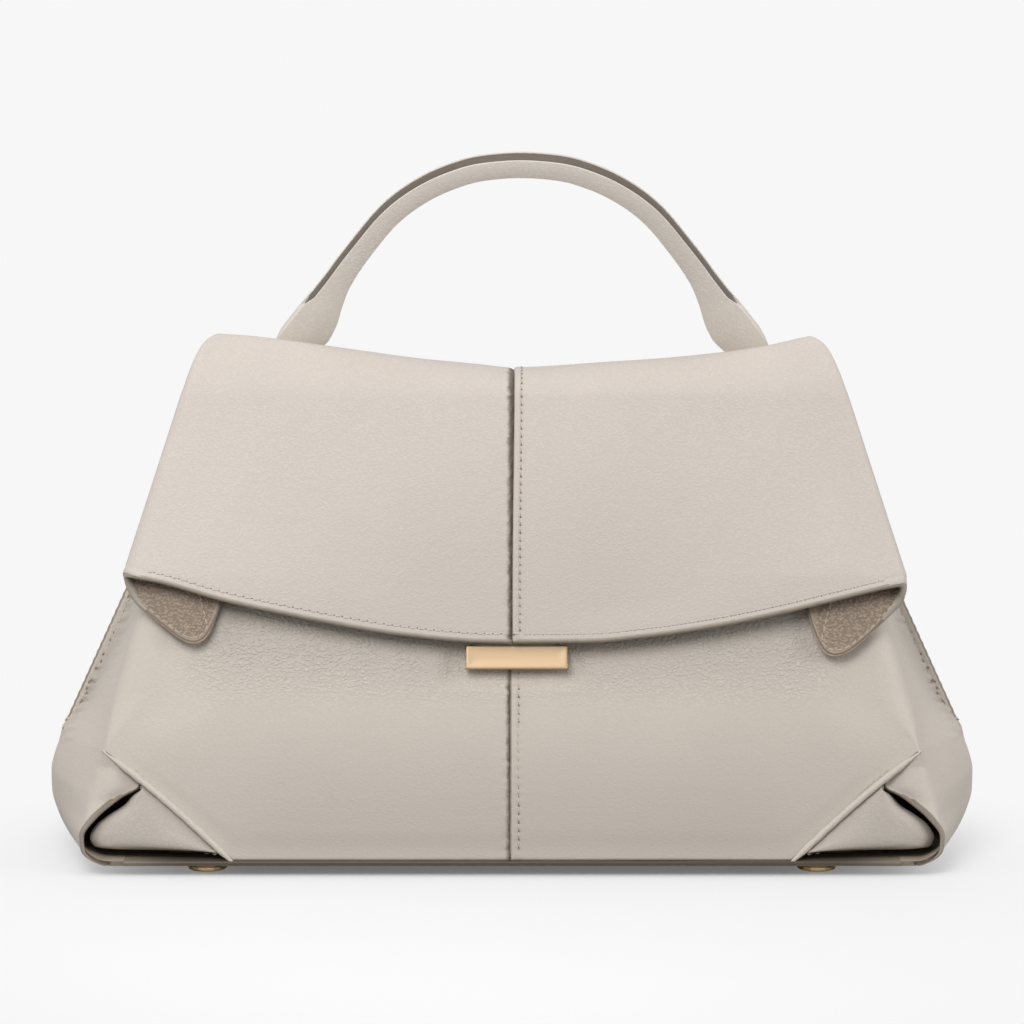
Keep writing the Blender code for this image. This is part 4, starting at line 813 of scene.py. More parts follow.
HEM_HALF = 148.5
CORNER_SWELL = 3.5
FOLD_ROUND_TOP = 3.0
FOLD_ROUND_LOW = 5.2
WING_TOP = 4.0
WING_LOW = 33.3
RIGHT_WIDER = 1.9
FOLD_LEFT = ((0.0, 110.9), (0.25, 111.8), (0.45, 111.4), (0.60, 109.4), (0.78, 105.2), (1.0, 99.8))
FOLD_RIGHT = ((0.0, 107.8), (0.25, 108.1), (0.42, 106.8), (0.58, 103.8), (0.78, 100.0), (1.0, 97.2))
WING_LEFT = ((0.0, 99.8), (0.18, 94.6), (0.38, 89.8), (0.55, 86.0), (0.66, 84.9), (0.75, 85.5), (0.84, 88.6),
             (0.92, 94.6), (1.0, 101.6))
WING_RIGHT = ((0.0, 97.2), (0.16, 91.4), (0.36, 85.8), (0.55, 81.4), (0.67, 80.3), (0.78, 81.2),
              (0.87, 85.6), (0.94, 92.0), (1.0, 99.0))
ROLL_SIDE = ((0.0, 126.3), (0.5, 123.0), (0.84, 119.6), (0.95, 117.4), (1.0, 114.8))
CREST_LEFT = ((0.0, 185.0), (0.12, 186.6), (0.27, 188.4), (0.54, 192.5), (0.89, 197.4), (1.0, 198.6))
CREST_RIGHT = ((0.0, 185.2), (0.12, 185.9), (0.44, 188.1), (0.77, 192.5), (1.0, 197.6))
HALVES = {-1: (CREST_LEFT, HEM_LEFT, FOLD_LEFT, WING_LEFT, 0.0),
          1: (CREST_RIGHT, HEM_RIGHT, FOLD_RIGHT, WING_RIGHT, RIGHT_WIDER)}
FLAP_LEATHER = 1.4
CREST_WIDER = 1.7
HEM_STITCH = 2.6
LINING_LEATHER = 0.9
CREST_ROWS = 46
FLAP_ROWS = 112
FRONT_COLUMNS = 96
FOLD_COLUMNS = 12
WING_COLUMNS = 26


def flap_face(z):
    """Outer face of the flap at a height."""
    return -FLAP_TOP_OUT - FLAP_SLOPE * (SPRING - z)


def fallen(z):
    """How far down the flap a height lies: 0 at the foot of the roll, 1 at the hem's corner."""
    return np.clip((SPRING - z) / (SPRING - HEM_CORNER), None, 1.0)


def fold_half_width(z):
    """Half width of the flap at its side folds."""
    return TOP_HALF + CREST_WIDER + (HEM_HALF - TOP_HALF - CREST_WIDER) * fallen(z)


def swell(across, z):
    """How far the flap stands out towards its lower corners."""
    return CORNER_SWELL * across ** 2 * np.maximum(fallen(z), 0.0) ** 2


def seam_lean(z, across, side):
    """The middle seam leans a little to the right on its way up."""
    return side * 0.75 * ramp(z, 105.0, 186.0) * (1 - across) ** 2


def fold_radius(z):
    """Radius of the side fold's outer face."""
    return FOLD_ROUND_TOP + (FOLD_ROUND_LOW - FOLD_ROUND_TOP) * np.maximum(fallen(z), 0.0)


def roll_at(turn, top, depth):
    """Depths and heights on the roll at an angle over the top and a depth inside its face, and the
    share of the way to the back."""
    z = SPRING + (top - SPRING - depth) * math.sin(turn)
    share = (1 - math.cos(turn)) / 2
    return (flap_face(z) + depth) * (1 - share) + (half_depth(z) - depth) * share, z, share


def flap_rows(side, start, depth):
    """Rows of one half from the hem up over the roll to the back, at a depth inside its face. Both
    halves are drawn on the right side."""
    crest_line, hem_line, fold_line, wing_line, more = HALVES[side]
    across = graded(FRONT_COLUMNS, 0.34)
    turned = np.linspace(0.0, 1.0, FOLD_COLUMNS + 1)[1:]
    inward = np.linspace(0.0, 1.0, WING_COLUMNS + 1)[1:]
    hem = np.concatenate([curve_through(hem_line, across), curve_through(fold_line, turned),
                          curve_through(wing_line, inward)])
    rows = []
    for share in np.linspace(1.0, 0.0, FLAP_ROWS):
        z = SPRING - (SPRING - hem) * share
        front, fold, wing = np.split(z, (FRONT_COLUMNS, FRONT_COLUMNS + FOLD_COLUMNS))
        x = (start + across * (fold_half_width(front) + more - fold_radius(front) - start)
             + seam_lean(front, across, side))
        front = np.stack([x, flap_face(front) - swell(across, front) + depth, front], -1)
        radius = fold_radius(fold)
        x = fold_half_width(fold) + more - radius + (radius - depth) * np.sin(np.pi * turned)
        y = flap_face(fold) - swell(1.0, fold) + radius - (radius - depth) * np.cos(np.pi * turned)
        fold = np.stack([x, y, fold], -1)
        radius = fold_radius(wing)
        x = fold_half_width(wing) + more - radius - inward * (WING_TOP + (WING_LOW - WING_TOP) * share)
        y = flap_face(wing) - swell(1.0, wing) + 2 * radius - depth
        rows.append(np.concatenate([front, fold, np.stack([x, y, wing], -1)]))
    top = curve_through(crest_line, across)
    for turn in np.linspace(0.0, np.pi, CREST_ROWS)[1:]:
        y, z, share = roll_at(turn, top, depth)
        radius = FOLD_ROUND_TOP - 1.2 * float(ramp(turn, 0.0, 1.2))
        wide = float(curve_through(ROLL_SIDE, math.sin(turn))) + CREST_WIDER * (1 - share)
        x = start + across * (wide + more - radius - start) + seam_lean(z, across, side)
        front = np.stack([x, y, z], -1)
        out = unit(np.array((0.0, -math.cos(turn) * 10.0, math.sin(turn) * 17.0 + 1e-6)))
        fold = (front[-1] + np.outer((radius - depth) * np.sin(np.pi * turned), (1.0, 0.0, 0.0))
                - np.outer((radius - depth) * (1 - np.cos(np.pi * turned)), out))
        width = WING_TOP - 2.0 * float(ramp(turn, 0.0, 1.0))
        rows.append(np.concatenate([front, fold, fold[-1] - np.outer(inward * width, (1.0, 0.0, 0.0))]))
    return np.array(rows)


def flap_relief(grid, start, side):
    """The middle seam's relief, the hem's stitch groove and the slow waves of the leather."""
    x, z = grid[..., 0], grid[..., 2]
    hem_away = path_length(grid)
    in_front = np.arange(x.shape[1]) < FRONT_COLUMNS
    relief = seam_relief(x - x[:, :1], hem_away[:, :1], side > 0) * in_front
    relief *= 1 - 0.5 * ramp(z, SPRING, SPRING + 8.0)
    relief -= 0.14 * np.exp(-((hem_away - HEM_STITCH) / 0.6) ** 2)
    relief += 0.12 * np.exp(-((hem_away - 1.5) / 0.8) ** 2)
    wave = soft_waves(side * x + 9.0, z * 1.3, 0.55) * ramp(x - start, 10.0, 45.0)
    calm = (1 - ramp(x, fold_half_width(z) - 22.0, fold_half_width(z) - 7.0)) * in_front
    return relief + wave * calm * ramp(hem_away, 0.0, 14.0)


def bend_with_flap(piece):
    """Bake the piece's place into its mesh."""
    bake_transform(piece)


flap_surfaces = {}
for side, word in SIDES:
    start = side * FLAP_SEAM + SEAM_GAP / 2
    grid = flap_rows(side, start, 0.0)
    relief = flap_relief(grid, start, side)
    flap_surfaces[word] = (grid, relief)
    grid, relief = on_side(side, grid, relief)
    mesh = leather_sheet("flap_leather_" + word, grid, FLAP_LEATHER, relief, SLIGHT_RIM)
    face = left_calf if side < 0 else flap_calf
    bend_with_flap(add_piece("flap_leather_" + word, mesh, (face, edge_paint, flesh), None,
                             ("flap_" + word, "crest_" + word)))


# The flap's lining: a grained, darker leather bonded to the inside of the flap. It faces the
# viewer on the folded wings, where its smoother border is stitched.
LINING_CALF = (0.448, 0.352, 0.266)
LINING_DEPTH = FLAP_LEATHER + 0.12
wing_calf = calf_finish("grained_lining", LINING_CALF, 0.40, 0.95, 0.58, 0.42, mark=1.6, patchy=0.3)
border_calf = calf_finish("lining_border", toned(LINING_CALF, 1.03), 0.14, 1.0, 0.55, 0.22, mark=1.4,
                          patchy=0.5)
lining_halves = []
for side, _ in SIDES:
    grid = flap_rows(side, side * FLAP_SEAM, LINING_DEPTH)[:FLAP_ROWS + 6, 1:]
    lining_halves.append(grid if side > 0 else mirrored(grid))
lining_grid = np.concatenate(lining_halves, axis=1)
mesh = leather_sheet("flap_lining_leather", lining_grid, LINING_LEATHER, None, SLIGHT_RIM, border=(3, 2))
bend_with_flap(add_piece("flap_lining_leather", mesh, (wing_calf, border_calf, wing_calf), None,
                         ("flap_lining",)))


# The hem's edge: the flap's leather and its lining are cut flush, and their two edges are filled
# and painted together as one round taupe bead. It runs from the middle round the fold to the end of
# the wing, where it is darker with painted shade.
BEAD = ((-0.08, 0.75), (-0.12, 0.4), (-0.05, 0.0), (0.20, -0.35), (0.65, -0.6), (1.20, -0.7), (1.80, -0.6),
        (2.28, -0.35), (2.50, 0.0), (2.54, 0.4), (2.50, 0.7), (2.10, 0.9), (0.40, 0.9))
BEAD_ROWS = FLAP_ROWS - 6
edge_paint_in_shade = paint_finish("edge_paint_in_shade", toned(EDGE_PAINTED_SHADE, 1.35))


def eased(line):
    """The same line of points, smoothed."""
    for _ in range(3):
        line[1:-1] = (line[:-2] + 2 * line[1:-1] + line[2:]) / 4
    return line


def edge_bead(grid, relief, flip):
    """Rings of the bead along the hem and up the wing's end, fuller where it turns at the fold."""
    normals = surface_normals(grid)
    surface = grid + normals * relief[..., None]
    line = eased(np.concatenate([surface[0], surface[1:BEAD_ROWS, -1]]))
    out = np.concatenate([normals[0], normals[1:BEAD_ROWS, -1]])
    run = unit(np.gradient(line, axis=0))
    into = unit(np.cross(out, run))
    place = np.arange(len(line))
    turn = np.exp(-((place - FRONT_COLUMNS - FOLD_COLUMNS / 2) / 5.0) ** 2)
    wing = ramp(place, FRONT_COLUMNS + FOLD_COLUMNS, FRONT_COLUMNS + FOLD_COLUMNS + 4)
    rings = []
    for deep, up in BEAD:
        fuller, thinner = (1.5, 0.45) if up < 0 else (1.4, 0.35)
        up = up * (1.0 + fuller * turn - thinner * wing)
        rings.append((line - (out * deep - into * up[:, None])) * flip)
    return np.array(rings).transpose(1, 0, 2)


for side, word in SIDES:
    grid, relief = flap_surfaces[word]
    rings = edge_bead(grid, relief, np.array((side, 1.0, 1.0)))
    on_wing = (np.arange(len(rings) - 1) > FRONT_COLUMNS + FOLD_COLUMNS + 1).astype(int)[:, None]
    mesh = ring_mesh("flap_edge_" + word, rings, on_wing, 50.0)
    add_piece("flap_edge_" + word, mesh, (edge_paint, edge_paint_in_shade), "flap", ())


# The handle: two calf leathers round a filler, cut to an arch that widens to a leaf above each
# foot. The feet bend down behind the roll and are sewn flat to the back. The edges are painted.
ARCH = ((0.0, 1.0), (0.16, 0.987), (0.31, 0.940), (0.435, 0.872), (0.545, 0.782), (0.655, 0.645),
        (0.752, 0.505), (0.845, 0.335), (0.935, 0.165), (1.0, 0.0))
ARCH_OUTER = ((0.0, 4.2), (0.35, 4.35), (0.5, 4.8), (0.60, 6.1), (0.68, 7.7), (0.75, 8.8), (0.82, 9.7),
              (0.92, 9.6), (1.0, 8.2))
ARCH_INNER = ((0.0, 4.2), (0.35, 4.35), (0.5, 4.9), (0.60, 6.3), (0.68, 8.0), (0.735, 8.3), (0.78, 7.3),
              (0.82, 6.0), (0.92, 5.4), (1.0, 6.3))
ARCH_POINTS = 150
TAB_POINTS = 26
TAB_LONG = 34.0
TAB_STRAIGHT = 26.8
TAB_ROUND = 7.25
TAB_HALVES = (8.2, 6.3)
TAB_THIN = 0.36
NOTCH = 0.660
NICK = 1.3
OUTER_BEVEL = 1.3
# The next tone is the bag's calf made lighter, which is painted light for the handle.
HANDLE_CALF_PAINTED_LIGHT = (0.768, 0.7076, 0.63488)
HANDLE_PAINT = (0.125, 0.100, 0.076)
HALF_SPAN = 93.0
RISE = 92.6
HANDLE_X = 3.5
HANDLE_AXIS = 178.0
HANDLE_STACK = 7.0
handle_y = float(half_depth(HANDLE_AXIS)) + (HANDLE_STACK + 0.6) / LEAN_COS
handle_edge = paint_finish("handle_edge_paint", HANDLE_PAINT)
# The handle's calf is a lighter copy of the bag's calf: painted light.
handle_calf_painted_light = calf_finish("handle_calf_painted_light", HANDLE_CALF_PAINTED_LIGHT, 0.07, 1.1)


def arch_line():
    """Points along the handle from the left tab's end over the arch to the right one, with the
    width to the outer and inner edge, and how far each point lies below the top."""
    table = np.array([(-x, z) for x, z in ARCH[:0:-1]] + [list(row) for row in ARCH])
    table = table * (HALF_SPAN, RISE)
    chord = path_length(table)
    at = np.linspace(0.0, chord[-1], ARCH_POINTS)
    line = eased(np.column_stack([curve_through(list(zip(chord, table[:, k])), at) for k in (0, 1)]))
    share = np.abs(at / chord[-1] * 2 - 1)
    drop = 1 - line[:, 1] / RISE
    halves = np.column_stack([curve_through(table, drop) for table in (ARCH_OUTER, ARCH_INNER)])
    tangent = unit(np.gradient(line, axis=0))
    ends = ramp(share, 0.90, 1.0)[:, None]
    straight = np.where(np.arange(ARCH_POINTS)[:, None] < ARCH_POINTS / 2, (0.0, 1.0), (0.0, -1.0))
    tangent = unit(tangent * (1 - ends) + straight * ends)
    tail = np.linspace(TAB_LONG, 1.0, TAB_POINTS)
    past = ((tail - TAB_STRAIGHT) / TAB_ROUND).clip(0.0)
    round_end = np.sqrt(np.clip(1 - past ** 2, 0.004, 1.0))[:, None] * TAB_HALVES
    left = np.column_stack([np.full(TAB_POINTS, -HALF_SPAN), -tail])
    right = np.column_stack([np.full(TAB_POINTS, HALF_SPAN), -tail[::-1]])
    up, down = (np.tile((0.0, way), (TAB_POINTS, 1)) for way in (1.0, -1.0))
    at_foot = np.ones(TAB_POINTS)
    return (np.vstack([left, line, right]), np.vstack([up, tangent, down]),
            np.concatenate([round_end, halves, round_end[::-1]]),
            np.concatenate([at_foot, drop, at_foot]))


def handle_part(name, near, far, inset, finishes, looks, replaced):
    """One layer of the handle between two depths, measured from its front as shares of the stack."""
    rings = []
    for (px, pz), (tx, tz), (wide_out, wide_in), fall in zip(*arch_line()):
        thin = 1.0 - (1 - TAB_THIN) * float(ramp(-pz, 0.0, 24.0))
        nick = NICK * math.exp(-((fall - NOTCH) / 0.012) ** 2) if looks is not None else 0.0
        half, shift = (wide_out + wide_in) / 2 - inset - nick / 2, (wide_out - wide_in - nick) / 2
        front, back = near * thin, far * thin
        soft = min(0.34, (back - front) * 0.3)
        profile = ((-half + soft, front), (half - soft, front), (half - soft * 0.3, front + soft * 0.3),
                   (half, front + soft), (half, back - soft), (half - soft * 0.3, back - soft * 0.3),
                   (half - soft, back), (soft - half, back), (soft * 0.3 - half, back - soft * 0.3),
                   (-half, back - soft), (-half, front + soft), (soft * 0.3 - half, front + soft * 0.3))
        ring = []
        bevel = OUTER_BEVEL * (1 - float(ramp(fall, NOTCH - 0.045, NOTCH - 0.008)))
        for out, deep in profile:
            out += bevel * (1 - deep / HANDLE_STACK) * (out < 0) - shift
            lx, lz = px + tz * out, pz - tx * out
            ly = deep - HANDLE_STACK - 0.2 - (0.1 if pz < 0 else 0.0)
            ring.append((HANDLE_X + lx, handle_y + ly * LEAN_COS - lz * LEAN_SIN,
                         HANDLE_AXIS + ly * LEAN_SIN + lz * LEAN_COS))
        rings.append(ring)
    mesh = ring_mesh(name, rings, looks, 70.0)
    piece = add_piece(name, mesh, finishes, None, replaced)
    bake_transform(piece)


drop = arch_line()[3]
wrapped = ((drop[:-1] > NOTCH) & (drop[1:] > NOTCH)).astype(int)[:, None]
handle_part("handle_front_leather", 0.0, 0.7, 0.0, (handle_calf_painted_light, handle_calf_painted_light), None, ("handle_front",))
handle_part("handle_filler", 1.0, 6.0, 0.10, (handle_edge, handle_calf_painted_light), wrapped,
            ("handle_core", "handle_tab_left", "handle_tab_right"))
handle_part("handle_back_leather", 6.3, 7.0, 0.0, (handle_calf_painted_light, handle_calf_painted_light), None, ("handle_back",))


# The base: a strip of the same leather under a stiff board. It runs between the two sides, which
# wrap in to meet its ends, and its cut edges are painted, with painted shade that makes them dark.
bpy.ops.mesh.primitive_cube_add(size=1.0, location=(0.0, 0.0, 4.9 * MM))
base = bpy.context.active_object
base.name = "base_leather"
base.scale = (293.4 * MM, 150.0 * MM, 1.8 * MM)
bpy.ops.object.transform_apply(location=True, rotation=True, scale=True)
bevel = base.modifiers.new("edges", "BEVEL")
bevel.width = 0.5 * MM
bevel.segments = 3
bpy.ops.object.modifier_apply(modifier="edges")
base.data.materials.append(calf)
base.data.materials.append(strip_finish("base_edge_paint"))
for face in base.data.polygons:
    face.material_index = 0 if face.normal.z < -0.7 else 1
    face.use_smooth = True
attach(base, "bag_body")
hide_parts("base_panel")
base.select_set(False)


# The lining: a bag of plain cloth, sewn in at the mouth. On the inside of the back it has a slip
# pocket of the same cloth, and a leather facing runs along the top above it.
CLOTH = (0.300, 0.252, 0.200)
CLOTH_THICK = 0.8
THREAD_WAVES = 5200.0
LINING_FLOOR = 10.5
LINING_FOOT_HALF = 142.0
LINING_TOP_HALF = 121.5
LINING_FOOT_ROUND = 26.0
LINING_TOP_ROUND = 9.0
LINING_DEEPEST = 60.0
LINING_CLEAR = 4.4


def cloth_finish(name):
    """A plain woven cloth with fine crossing threads."""
    material, shader, place = start_finish(name, 0.85, Specular_IOR_Level=0.2)
    weft, _, warp = (axis * THREAD_WAVES for axis in axes_of(place))
    weave = weft.math("SINE", weft) * warp.math("SINE", warp)
    set_colour(shader, toned(CLOTH, 0.86), toned(CLOTH, 1.15), noise(place, 30.0, 3.0) + weave * 0.2)
    set_relief(shader, weave * 0.5 + noise(place, 900.0, 2.0) * 0.5, 0.5, 0.15)
    return material


cloth = cloth_finish("lining_cloth")


def rounded_ring(half_x, front, back, radius, steps=8):
    """Points round a rectangle with round corners, seen from above, the other way to the clock."""
    ring = []
    centres = ((half_x - radius, back - radius), (radius - half_x, back - radius),
               (radius - half_x, front + radius), (half_x - radius, front + radius))
    for quarter, (cx, cy) in enumerate(centres):
        for angle in np.linspace(quarter * np.pi / 2, (quarter + 1) * np.pi / 2, steps + 1):
            ring.append((cx + radius * math.cos(angle), cy + radius * math.sin(angle)))
    ring = np.array(ring)
    points = [ring[0]]
    for start, end in zip(ring, np.roll(ring, -1, 0)):
        parts = max(1, int(np.linalg.norm(end - start) / 6.0))
        points += [start + (end - start) * (k + 1) / parts for k in range(parts)]
    return np.array(points[:-1])


def resampled(ring, count):
    """The same closed outline with evenly shared points."""
    closed = np.vstack([ring, ring[:1]])
    length = path_length(closed)
    at = np.linspace(0.0, length[-1], count, endpoint=False)
    return np.column_stack([np.interp(at, length, closed[:, k]) for k in range(3)])


def lining_rings(inset):
    """Rings of one of the lining's walls, from its floor up to its mouth."""
    rings = []
    floor = LINING_FLOOR + inset
    for z in np.concatenate([[floor], np.linspace(floor + 2.2, MOUTH - 0.4, 44)]):
        up = (z - LINING_FLOOR) / (MOUTH - LINING_FLOOR)
        inward = inset + (3.0 if z == floor else 0.0)
        half_x = LINING_FOOT_HALF + (LINING_TOP_HALF - LINING_FOOT_HALF) * up - inward
        radius = LINING_FOOT_ROUND + (LINING_TOP_ROUND - LINING_FOOT_ROUND) * up
        front = max(float(front_face(z)) + LINING_CLEAR, -LINING_DEEPEST) + inward
        back = min(float(half_depth(z)) - LINING_CLEAR, LINING_DEEPEST) - inward
        outline = rounded_ring(half_x, front, back, radius)
        rings.append(resampled(np.column_stack([outline, np.full(len(outline), z)]), 180))
    return rings


def lining_mesh():
    """The cloth bag: an outer and an inner wall joined round the mouth."""
    rings = np.array(lining_rings(0.0) + lining_rings(CLOTH_THICK)[::-1])
    for ring in rings:
        inward = unit(ring[:, :2] - ring[:, :2].mean(0)) * -1
        wave = 0.25 * np.sin(ring[:, 0] / 9.0 + ring[:, 2] / 14.0) * np.sin(ring[:, 2] / 17.0)
        ring[:, :2] += inward * np.abs(wave)[:, None]
    return ring_mesh("lining_cloth_bag", rings)


add_piece("lining_cloth_bag", lining_mesh(), (cloth, cloth), "bag_body", ("lining",))


def back_sheet(name, half_x, low, high, stand, thickness, finishes, replaced, belly=0.0):
    """A flat piece on the inside of the back, between two heights."""
    x = np.linspace(-half_x, half_x, 90)
    z = np.linspace(low, high, 60)[:, None]
    bulge = belly * np.sin(np.pi * (x / half_x + 1) / 2) * ramp(z, low, high)
    y = half_depth(z) - stand - bulge
    grid = np.stack([x + 0 * z, y, z + 0 * x], -1)
    add_piece(name, leather_sheet(name, grid, thickness), finishes, "bag_body", replaced)


back_sheet("back_facing_leather", 116.0, 146.2, 171.6, 4.75 + 0.9, 0.9, (wing_calf, edge_paint, flesh),
           ("back_facing",))
back_sheet("slip_pocket", 75.0, 48.0, 112.0, 7.6, 0.8, (cloth, cloth, cloth),
           ("inner_pocket",), 1.2)


# The boards: one lies on the base, and one keeps the arch of the roll. Both are bonded leather
# board, out of sight. Two patches of it lie behind the handle's stitches.
BOARD_DEEP = 62.0
ROLL_BOARD_HALF = 106.0
ROLL_BOARD_UNDER = 3.0
board = mottled_finish("bonded_board", (0.06, 0.045, 0.03), (0.13, 0.10, 0.07), 700.0, 4.0, 0.85, 0.5,
                       0.7, (0.4, 0.2))
outline = rounded_ring(138.0, -BOARD_DEEP, BOARD_DEEP, 14.0)
rings = [np.column_stack([outline * (1 - cut / BOARD_DEEP), np.full(len(outline), z)])
         for cut, z in ((0.5, 6.1), (0.0, 6.5), (0.0, 7.7), (0.5, 8.1))]
add_piece("base_stiffener", ring_mesh("base_stiffener", rings), (board, board), "bag_body",
          ("base_board",))
x = np.linspace(-ROLL_BOARD_HALF, ROLL_BOARD_HALF, 80)
across = np.abs(x) / 116.0
top = np.where(x < 0, curve_through(CREST_LEFT, across), curve_through(CREST_RIGHT, across))
rows = []
for turn in np.linspace(0.35, np.pi - 0.35, 30):
    y, z, _ = roll_at(turn, top, ROLL_BOARD_UNDER)
    rows.append(np.stack([x, y, z], -1))
mesh = leather_sheet("roll_stiffener", np.array(rows), 0.8)
add_piece("roll_stiffener", mesh, (board, board, board), "bag_body", ("crest_board",))


# The stitches: waxed thread in the leather's own colour, about eight to the inch, each one sunk
# at both ends into a needle hole, drawn as a dark patch of painted shade.
THREAD = (0.560, 0.500, 0.430)
STITCH_LONG = 2.3
SLANT = 0.12
STATIONS = ((-0.5, 0.35, -0.42), (-0.36, 0.85, -0.08), (-0.12, 1.0, 0.10), (0.12, 1.0, 0.10),
            (0.36, 0.85, -0.08), (0.5, 0.35, -0.42))
# The next two tones are painted shade in the needle holes.
HOLE_DARK = (0.140, 0.104, 0.082)
HOLE_PALE = (0.320, 0.250, 0.205)
thread = mottled_finish("waxed_thread", toned(THREAD, 0.8), toned(THREAD, 1.15), 2400.0, 2.0, 0.7, 0.3)
needle_hole_shade = mottled_finish("needle_hole_shade", HOLE_DARK, HOLE_PALE, 420.0, 2.0, 0.9, 0.1)


def stitch_mesh(name, lines, radius=0.30, hole=0.34):
    """Stitches along lines of points with normals. Each is a small capsule that dives at its ends,
    with a flat, long dark patch before it, painted shade for its needle hole."""
    points, faces, looks = [], [], []

    def add_solid(rings, look):
        size, first = len(rings[0]), len(points)
        for ring in rings:
            points.extend(ring)
        for r in range(len(rings) - 1):
            for c in range(size):
                a, b = first + r * size + c, first + r * size + (c + 1) % size
                faces.append([a, a + size, b + size, b])
        faces.append([first + c for c in range(size)])
        faces.append([len(points) - 1 - c for c in range(size)])
        looks.extend([look] * (size * (len(rings) - 1) + 2))

    def turns(count):
        angles = np.linspace(0.0, 2 * np.pi, count, endpoint=False)
        return list(zip(np.cos(angles), np.sin(angles)))

    for line, normals in lines:
        length_at = path_length(line)
        count = int(length_at[-1] / PITCH)
        spare = (length_at[-1] - count * PITCH) / 2
        for k in range(count):
            at = spare + (k + 0.5) * PITCH
            centre, ahead = (np.array([np.interp(s, length_at, line[:, c]) for c in range(3)])
                             for s in (at, at + 0.4))
            normal = unit(np.array([np.interp(at, length_at, normals[:, c]) for c in range(3)]))
            run = unit(ahead - centre)
            run = unit(run + unit(np.cross(normal, run)) * SLANT)
            wide = np.cross(normal, run)
            rings = []
            for share, thick, lift in STATIONS:
                middle = centre + run * share * STITCH_LONG + normal * lift * radius * 2
                rings.append([middle + radius * thick * (wide * c + normal * s) for c, s in turns(6)])
            add_solid(rings, 0)
            pierced = centre - run * PITCH / 2
            add_solid([[pierced + reach * (run * 1.5 * c + wide * s) + normal * rise for c, s in turns(8)]
                       for reach, rise in ((hole, -0.20), (hole * 0.75, 0.05))], 1)
    mesh = raw_mesh(name, np.array(points), faces, looks)
    check = bmesh.new()
    check.from_mesh(mesh)
    bmesh.ops.recalc_face_normals(check, faces=check.faces)
    check.to_mesh(mesh)
    check.free()
    return mesh


def line_on(grid, relief, path, side=1):
    """A line over a grid by row and column places, on its relief, with the normals there."""
    normals = surface_normals(grid)
    surface = grid + normals * relief[..., None]
    flip = np.array((side, 1.0, 1.0))
    rows = np.clip(np.array([p[0] for p in path], float), 0, grid.shape[0] - 1.001)
    columns = np.clip(np.array([p[1] for p in path], float), 0, grid.shape[1] - 1.001)
    r, c = rows.astype(int), columns.astype(int)
    fr, fc = (rows - r)[:, None], (columns - c)[:, None]

    def read(values):
        return (values[r, c] * (1 - fr) * (1 - fc) + values[r + 1, c] * fr * (1 - fc)
                + values[r, c + 1] * (1 - fr) * fc + values[r + 1, c + 1] * fr * fc)

    return read(surface) * flip, unit(read(normals)) * flip


def place_at(points, away):
    """The place in a line of points that lies a distance from its start."""
    return float(np.interp(away, path_length(points), np.arange(len(points))))


def add_stitches(name, lines, body, **sizes):
    """A run of stitches as one piece."""
    mesh = stitch_mesh(name, lines, **sizes)
    return add_piece(name, mesh, (thread, needle_hole_shade), body, ())


front_grid, front_detail = front_half(1)
seam_path = [(r, place_at(front_grid[r], SEAM_STITCH)) for r in range(3, 85)]
add_stitches("front_seam_stitches", [line_on(front_grid, front_detail, seam_path)], "bag_body")
back_grid, back_detail = on_side(-1, *back_half(1))
seam_path = [(r, place_at(back_grid[r], SEAM_STITCH)) for r in range(3, 174)]
add_stitches("back_seam_stitches", [line_on(back_grid, back_detail, seam_path, -1)], "bag_body")

hem_lines = []
for side, word in SIDES:
    grid, relief = flap_surfaces[word]
    path = [(place_at(grid[:, c], HEM_STITCH), c) for c in range(FRONT_COLUMNS - 1)]
    hem_lines.append(line_on(grid, relief, path, side))
seam_grid, seam_detail = flap_surfaces["right"]
seam_path = [(r, place_at(seam_grid[r], SEAM_STITCH)) for r in range(4, seam_grid.shape[0] - 4)]
hem_lines.append(line_on(seam_grid, seam_detail, seam_path))
bend_with_flap(add_stitches("flap_stitches", hem_lines, None))

wing_lines = []
for side, _ in SIDES:
    grid = flap_rows(side, side * FLAP_SEAM, LINING_DEPTH + LINING_LEATHER)
    first, last = FRONT_COLUMNS + FOLD_COLUMNS - 4, grid.shape[1] - 5
    path = [(place_at(grid[:, c], 2.8), c) for c in range(first, last + 1)]
    path += [(r, last) for r in np.linspace(path[-1][0], 60.0, 30)[1:]]
    line, normals = line_on(grid, np.zeros(grid.shape[:2]), path, side)
    wing_lines.append((line - 0.14 * normals, -normals))
add_stitches("wing_stitches", wing_lines, "flap", radius=0.26, hole=0.22)

side_lines = []
for side in (-1, 1):
    for facing in (-1, 1):
        columns = SIDE_COLUMNS + facing * 3.4
        path = [(r, columns) for r in range(84, side_surface.shape[0] - 4, 2)]
        side_lines.append(line_on(side_surface, side_detail, path, side))
add_stitches("side_stitches", side_lines, "bag_body", radius=0.34, hole=0.40)

ridge_lines = []
feet = front_grid[0, :, 0]
path = [(place_at(front_grid[:, c], 1.5), c) for c in np.flatnonzero((feet > 128.0) & (feet < 147.0))]
for side in (-1, 1):
    line, normals = line_on(front_grid, front_detail, path, side)
    ridge_lines += [(line * (1, facing, 1), normals * (1, facing, 1)) for facing in (1, -1)]
add_stitches("ridge_stitches", ridge_lines, "bag_body", radius=0.22, hole=0.16)


